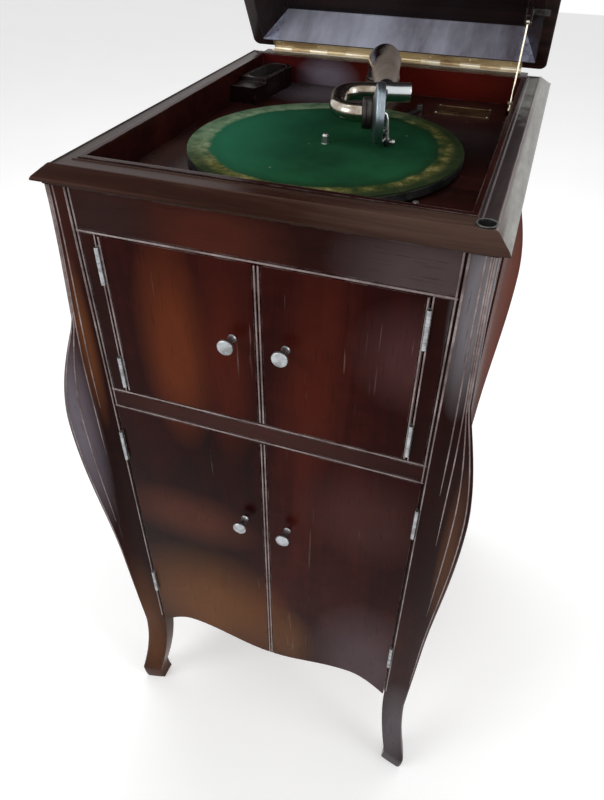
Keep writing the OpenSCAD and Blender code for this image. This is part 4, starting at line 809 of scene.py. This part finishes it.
def make_sound_box(shell_m, dark_m, rubber_m):
    centre = ARM_LEN + NECK_SPAN
    back = BOX_T - BOX_THICK / 2
    across = arm_way(0, 1, 0)
    hub = arm_point(centre, back, ARM_Z)
    shell = lathe([(0, 8.1), (0, 21), (0.8, 23), (1.4, 27), (2.0, 29.4), (2.8, 30.3), (3.6, 30.5),
                   (4.6, 30.5), (5.0, 30.0), (5.6, 30.0), (6.0, 30.5), (9.6, 30.5), (10.6, 30.1),
                   (11.0, 29.2), (10.9, 27.6), (9.8, 26.8), (8.4, 26.5)], hub, across, count=72)
    obj = piece("smooth_sound_box", "neck", shell_m, *shell, smooth=35, slot="nickel")
    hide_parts("sound_box")
    ribs = [(-COLLAR_LEN, 8.1), (-COLLAR_LEN, COLLAR_R - 1.2), (-COLLAR_LEN + 0.8, COLLAR_R - 0.4),
            (-8.2, COLLAR_R), (-7.8, COLLAR_R - 0.8), (-7.3, COLLAR_R - 0.8), (-6.9, COLLAR_R),
            (-2.6, COLLAR_R), (-2.2, COLLAR_R - 0.8), (-1.7, COLLAR_R - 0.8), (-1.3, COLLAR_R + 0.6),
            (0, COLLAR_R + 3.5), (0.2, 8.1)]
    piece("grooved_collar", "neck", rubber_m, *lathe(ribs, hub, across, count=56), smooth=30,
          slot="dark_metal")
    waves = [(7.8, 29)]
    for k in range(15):
        waves.append((7.8 + 0.35 * math.sin(k * 1.6), 26.5 - k * 1.6))
    waves.append((8.2, 0.1))
    obj = piece("ribbed_diaphragm", "neck", dark_m, *lathe(waves, hub, across, count=56), smooth=70,
                slot="dark_metal")
    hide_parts("diaphragm")


def make_needle_bar(steel_m, dark_m):
    """Bar from the diaphragm's centre to the needle clamp, with its springs, pivots and screws."""
    centre = ARM_LEN + NECK_SPAN
    face = BOX_T + BOX_THICK / 2

    def spot(f, t, up):
        return arm_point(centre + f, face + t, ARM_Z + up)

    bar = tube([spot(0, 1.0, 1), spot(0, 3.2, -1), spot(0, 4.6, -6), spot(0, 5.2, -14), spot(0, 5.6, -22),
                spot(0, 6.0, -27)], [r * MM for r in (1.3, 1.4, 1.5, 1.8, 2.2, 2.6)], 16)
    cap = lathe([(-1.5, 2.6), (0.5, 2.6), (1.4, 2.0), (1.8, 0.1)], spot(0, 0.6, 0), arm_way(0, 1, 0),
                count=20)
    clamp = lathe([(0, 2.0), (0, 3.0), (0.5, 3.3), (7.0, 3.3), (7.6, 2.8), (9.4, 2.2), (9.6, 1.4)],
                  spot(0, 6.0, -24.5), Vector((0, 0, -1)), count=24)
    screw = lathe([(0, 1.5), (5.5, 1.5), (5.6, 2.6), (6.0, 3.0), (9.0, 3.0), (9.4, 2.6), (9.5, 0.1)],
                  spot(0, 5.0, -BOX_R + 1), arm_way(0, 1, 0), count=12)
    needle = tube([spot(0, 6, -31), spot(0, 6, -33.4), spot(0, 6, -34.2)],
                  [r * MM for r in (0.7, 0.6, 0.12)], 10)
    yoke = merged(*[tube([spot(s * 9.5, 0.6, -25.5), spot(s * 8.2, 2.6, -24), spot(s * 4.0, 4.4, -22.6),
                          spot(0, 5.0, -22)], [1.9 * MM, 1.7 * MM, 1.6 * MM, 1.6 * MM], 12) for s in (-1, 1)])
    pivots = merged(*[lathe([(0, 2.6), (1.6, 2.6), (2.2, 2.2), (2.4, 0.1)], spot(s * 9.5, 0, -25.5),
                            arm_way(0, 1, 0), count=16) for s in (-1, 1)])
    springs = merged(*[tube([spot(s * 4.5, 0.6, -17), spot(s * 3.4, 3.4, -15), spot(s * 1.8, 5.2, -17),
                             spot(0, 6.0, -19.5)], [0.8 * MM] * 4, 8) for s in (-1, 1)])
    nuts = merged(*[lathe([(0, 2.3), (1.8, 2.3), (2.2, 1.9), (2.2, 0.1)], spot(f, 0, up), arm_way(0, 1, 0),
                          count=6) for f, up in ((-4.5, -17), (4.5, -17), (-13, 12), (13, 12), (0, 22))])
    steel = merged(bar, cap, needle, screw)
    dark = merged(clamp, yoke, pivots, springs, nuts)
    obj = piece("detailed_needle_bar", "neck", steel_m, *steel, smooth=40, slot="dark_metal")
    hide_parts("needle_bar")
    piece("needle_bar_yoke", "neck", dark_m, *dark, smooth=40, slot="dark_metal")


# ---------------------------------------------------------------- finishes of the carried-over nodes
def dress(names, material):
    for name in names:
        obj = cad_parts[name]
        obj.data.materials.clear()
        obj.data.materials.append(material)
        for polygon in obj.data.polygons:
            polygon.material_index = 0


def make_stage():
    bpy.ops.mesh.primitive_plane_add(size=14, location=(0, 0, 0))
    floor = bpy.context.object
    floor.name = "floor"
    floor.data.materials.append(plain_floor())


def make_world():
    world = bpy.data.worlds.new("studio")
    bpy.context.scene.world = world
    world.use_nodes = True
    tree = world.node_tree
    background = tree.nodes["Background"]
    path = tree.nodes.new("ShaderNodeLightPath")
    seen = tree.nodes.new("ShaderNodeMath")
    seen.operation = "ADD"
    seen.use_clamp = True
    tree.links.new(path.outputs["Is Camera Ray"], seen.inputs[0])
    tree.links.new(path.outputs["Is Transmission Ray"], seen.inputs[1])
    seen_too = tree.nodes.new("ShaderNodeMath")
    seen_too.operation = "ADD"
    seen_too.use_clamp = True
    tree.links.new(seen.outputs[0], seen_too.inputs[0])
    tree.links.new(path.outputs["Is Glossy Ray"], seen_too.inputs[1])
    level = tree.nodes.new("ShaderNodeMapRange")
    level.inputs["To Min"].default_value = 0.5
    level.inputs["To Max"].default_value = 1.0
    tree.links.new(seen_too.outputs[0], level.inputs["Value"])
    tree.links.new(level.outputs[0], background.inputs["Strength"])
    background.inputs["Color"].default_value = (1, 1, 1, 1)


def lamp(name, place, target, size, power, colour=(1, 1, 1)):
    data = bpy.data.lights.new(name, "AREA")
    data.shape = "RECTANGLE"
    data.size, data.size_y = size
    data.energy = power
    data.color = colour
    obj = bpy.data.objects.new(name, data)
    obj.location = place
    obj.rotation_euler = (Vector(target) - Vector(place)).to_track_quat("-Z", "Y").to_euler()
    bpy.context.scene.collection.objects.link(obj)


def make_lamps():
    lamp("overhead", (-0.3, 0.9, 3.2), (0, 0, 0.9), (2.4, 1.6), 38)
    lamp("front_left", (-2.2, -2.2, 2.3), (0, 0, 0.7), (1.6, 1.6), 34)
    lamp("right", (2.6, -0.6, 1.9), (0, 0, 0.8), (1.2, 1.8), 22)


def dress_all():
    front = -POST_Y
    # reflection_lilac is a painted reflection of the room in the polish; amber_tone_and_reflection is partly
    # wood tone and partly painted reflection
    reflection_lilac, amber_tone_and_reflection = (0.185, 0.160, 0.190), (0.150, 0.032, 0.010)
    # post zones: the lilac-grey patches on the left fin, the top of the right post and the right foot are
    # painted reflection; the amber and red patches are partly wood tone and partly painted reflection
    posts = wood("post_wood", "Z", (0.006, 0.0018, 0.0018), (0.016, 0.0034, 0.0030), (0.036, 0.0090, 0.0066),
                 wear=0.5, worn=(0.26, 0.23, 0.235), nicks=0.2, streaky=0.15, tone_and_reflection_zones=[
                     ((-236, -266, 620), (26, 50, 230), reflection_lilac, 1.0),
                     ((-205, front, 730), (12, 40, 130), (0.150, 0.050, 0.018), 0.8),
                     ((-212, front, 130), (40, 60, 230), (0.120, 0.044, 0.016), 0.9),
                     ((204, front, 870), (24, 40, 130), (0.200, 0.188, 0.205), 1.0),
                     ((232, -262, 560), (14, 30, 170), (0.150, 0.056, 0.022), 0.8),
                     ((214, front, 90), (40, 60, 150), (0.130, 0.115, 0.128), 0.9),
                     ((235, 265, 560), (50, 70, 360), (0.175, 0.045, 0.028), 0.9)])
    # door zones: the amber patches are partly wood tone and partly painted reflection; the pinkish-grey
    # patches at the right are painted reflection
    doors = wood("door_wood", "Z", (0.0060, 0.0014, 0.0014), (0.021, 0.0026, 0.0024), (0.052, 0.0075, 0.0048),
                 wear=0.5, worn=(0.34, 0.26, 0.23), streaky=0.16, tone_and_reflection_zones=[
                     ((-95, front, 750), (48, 60, 150), amber_tone_and_reflection, 0.95),
                     ((-35, front, 740), (36, 60, 150), (0.085, 0.012, 0.006), 0.8),
                     ((60, front, 740), (44, 60, 150), (0.080, 0.012, 0.006), 0.7),
                     ((160, front, 800), (70, 60, 70), (0.085, 0.034, 0.034), 0.8),
                     ((-110, front, 470), (110, 60, 60), (0.110, 0.032, 0.018), 0.8),
                     ((-90, front, 270), (150, 60, 150), (0.165, 0.058, 0.016), 1.0),
                     ((30, front, 240), (50, 60, 90), (0.110, 0.044, 0.016), 0.9),
                     ((150, front, 240), (90, 60, 160), (0.095, 0.062, 0.070), 0.85),
                     ((130, front, 560), (90, 60, 90), (0.070, 0.026, 0.024), 0.7)])
    # rail zones: the lilac-grey patch at the right end of the top rail is a painted reflection; the others
    # are wood tone
    rails = wood("rail_wood", "X", (0.010, 0.0034, 0.0032), (0.024, 0.0068, 0.0058), (0.052, 0.0150, 0.0105),
                 wear=0.7, worn=(0.24, 0.20, 0.20), nicks=0.3, streaky=0.15, tone_and_reflection_zones=[
                     ((165, front, 890), (100, 60, 60), (0.095, 0.070, 0.072), 0.9),
                     ((-40, front, 890), (90, 60, 50), (0.085, 0.020, 0.012), 0.8),
                     ((-150, front, 890), (60, 60, 50), (0.030, 0.017, 0.016), 0.7),
                     ((0, front, 660), (190, 60, 30), (0.075, 0.030, 0.026), 0.6)])
    sides = wood("side_wood", "Z", (0.022, 0.0060, 0.0045), (0.070, 0.017, 0.011), (0.14, 0.038, 0.022),
                 wear=0.6, nicks=0.4, streaky=0.2)
    # lining zones: the lilac-grey patch at the left of the back wall is a painted reflection; the red patches
    # are wood tone
    lining = wood("lining_wood", "X", (0.012, 0.0030, 0.0028), (0.020, 0.0048, 0.0044),
                  (0.036, 0.0080, 0.0060), wear=0.6, worn=(0.24, 0.21, 0.20), nicks=0, tone_and_reflection_zones=[
                      ((60, 229, 918), (170, 8, 40), (0.115, 0.0105, 0.0065), 0.95),
                      ((-160, 229, 918), (80, 8, 40), (0.075, 0.0080, 0.0080), 0.95),
                      ((-85, 229, 912), (52, 8, 30), (0.190, 0.160, 0.200), 0.9)])
    # board zones: the lilac-grey patch at the back left is a painted reflection; the brown patches are wood
    # tone
    board = wood("board_wood", "X", (0.009, 0.0030, 0.0028), (0.022, 0.0062, 0.0050), (0.046, 0.0130, 0.0095),
                 wear=0.3, nicks=0.3, tone_and_reflection_zones=[
                     ((-85, 190, BOARD_Z), (130, 60, 20), (0.125, 0.108, 0.125), 0.85),
                     ((-170, -110, BOARD_Z), (30, 130, 20), (0.060, 0.034, 0.028), 0.6),
                     ((120, 175, BOARD_Z), (70, 60, 20), (0.080, 0.036, 0.028), 0.6)])
    # needle box zone: grey painted reflection in the dish
    box_wood = wood("needle_box_wood", "Y", (0.006, 0.0028, 0.0028), (0.016, 0.0060, 0.0056),
                    (0.034, 0.012, 0.010), wear=0.8, worn=(0.16, 0.15, 0.15), nicks=0.3, tone_and_reflection_zones=[
                        ((-160, 170, 915), (24, 60, 30), (0.100, 0.096, 0.098), 0.7)])
    bare = wood("bare_wood", "X", (0.10, 0.058, 0.032), (0.18, 0.11, 0.062), (0.26, 0.17, 0.10), wear=0.2,
                gloss=0.6, nicks=0)
    # front moulding zone: lighter right end, partly wood tone and partly painted reflection
    front_edge = moulding_wood("front_moulding_wood", "X", (0.017, 0.0056, 0.0040), (0.120, 0.078, 0.056),
                               0.26, tone_and_reflection_zones=[((180, -250, 930), (140, 60, 40), (0.070, 0.042, 0.033), 0.7)])
    left_edge = moulding_wood("left_moulding_wood", "Y", (0.013, 0.0055, 0.0045), (0.10, 0.080, 0.068), 0.25)
    right_edge = worn_sheen_moulding("right_moulding_wood")
    beads = bead_wood("bead_wood")
    # near-black wood for the strips that paint the shade in the grooves beside the post beads
    groove_shade = wood("painted_groove_shade", "Z", (0.0022, 0.0014, 0.0014), (0.0034, 0.0020, 0.0020),
                 (0.0060, 0.0032, 0.0030), wear=0.0, nicks=0)
    arm = nickel_arm("arm_nickel")
    nickel = metal("nickel", (0.55, 0.50, 0.44), (0.26, 0.21, 0.15), rough=(0.10, 0.24), scale=42)
    base_metal = metal("base_metal", (0.26, 0.22, 0.17), (0.13, 0.10, 0.075), rough=(0.34, 0.50), scale=30)
    silver = metal("silver", (0.46, 0.48, 0.50), (0.26, 0.26, 0.26), rough=(0.30, 0.46), scale=90)
    brass = metal("brass", (0.66, 0.56, 0.38), (0.36, 0.26, 0.15), rough=(0.24, 0.44), scale=34,
                  stretch=(0.3, 1, 1), patches=(0.46, 0.66))
    pale_brass = metal("pale_brass", (0.80, 0.74, 0.60), (0.48, 0.36, 0.22), rough=(0.24, 0.42), scale=30,
                       stretch=(0.3, 1, 1), patches=(0.50, 0.66))
    dull_brass = metal("dull_brass", (0.26, 0.18, 0.095), (0.085, 0.050, 0.030), rough=(0.36, 0.56), scale=60)
    blue_steel = metal("blue_steel", (0.36, 0.43, 0.49), (0.24, 0.28, 0.31), rough=(0.24, 0.36))
    steel = metal("steel", (0.56, 0.57, 0.57), (0.30, 0.30, 0.29), rough=(0.22, 0.40))
    rubber = metal("worn_rubber", (0.11, 0.105, 0.095), (0.055, 0.05, 0.045), rough=(0.35, 0.55), scale=50)
    dark = metal("dark_metal", (0.17, 0.17, 0.17), (0.06, 0.055, 0.05), rough=(0.26, 0.46), scale=120)
    iron = metal("iron", (0.075, 0.075, 0.075), (0.03, 0.03, 0.03), rough=(0.45, 0.65))

    dress(["top_rail", "middle_rail"], rails)
    dress(["door_stiles"], posts)
    dress(["door_upper_left", "door_upper_right", "door_lower_left", "door_lower_right"], doors)
    dress(["side_panel_left", "side_panel_right"], sides)
    dress(["moulding_front", "moulding_back"], front_edge)
    dress(["moulding_left"], left_edge)
    dress(["moulding_right"], right_edge)
    dress(["well_liner"], lining)
    dress(["motor_board"], board)
    dress(["lid_tray"], lid_wood("lid_wood"))
    dress(["back_panel", "board_cleats", "horn_shelf", "bottom_board", "horn"], bare)
    dress(["needle_box"], box_wood)
    dress(["hinge_leaves_case", "hinge_leaves_upper_left", "hinge_leaves_upper_right",
           "hinge_leaves_lower_left", "hinge_leaves_lower_right"], silver)
    dress(["long_hinge_case"], pale_brass)
    dress(["long_hinge_lid"], brass)
    dress(["stay_rod", "stay_eye"], pale_brass)
    dress(["stay_bracket"], dark)
    dress(["blank_plate", "governor", "escutcheon"], dull_brass)
    dress(["spindle", "spring_barrel", "winding_arbor", "winding_shaft", "speed_screw"], steel)
    # the turntable's near-black iron is partly its own colour and partly painted shade under the felt's rim
    dress(["turntable"], iron)
    dress(["felt_mat"], felt("felt"))
    dress(["needle_cup", "brake_lever"], dark)
    dress(["arm_base"], base_metal)
    dress(["horn_elbow", "motor_frame"], iron)

    make_posts(posts)
    make_beads(beads, groove_shade)
    make_knobs(silver)
    make_screws(pale_brass)
    make_tone_arm(arm)
    make_gooseneck(nickel)
    make_sound_box(blue_steel, dark, rubber)
    make_needle_bar(steel, dark)


make_camera()
make_world()
make_lamps()
make_stage()
dress_all()
bpy.context.scene.view_settings.view_transform = "Standard"
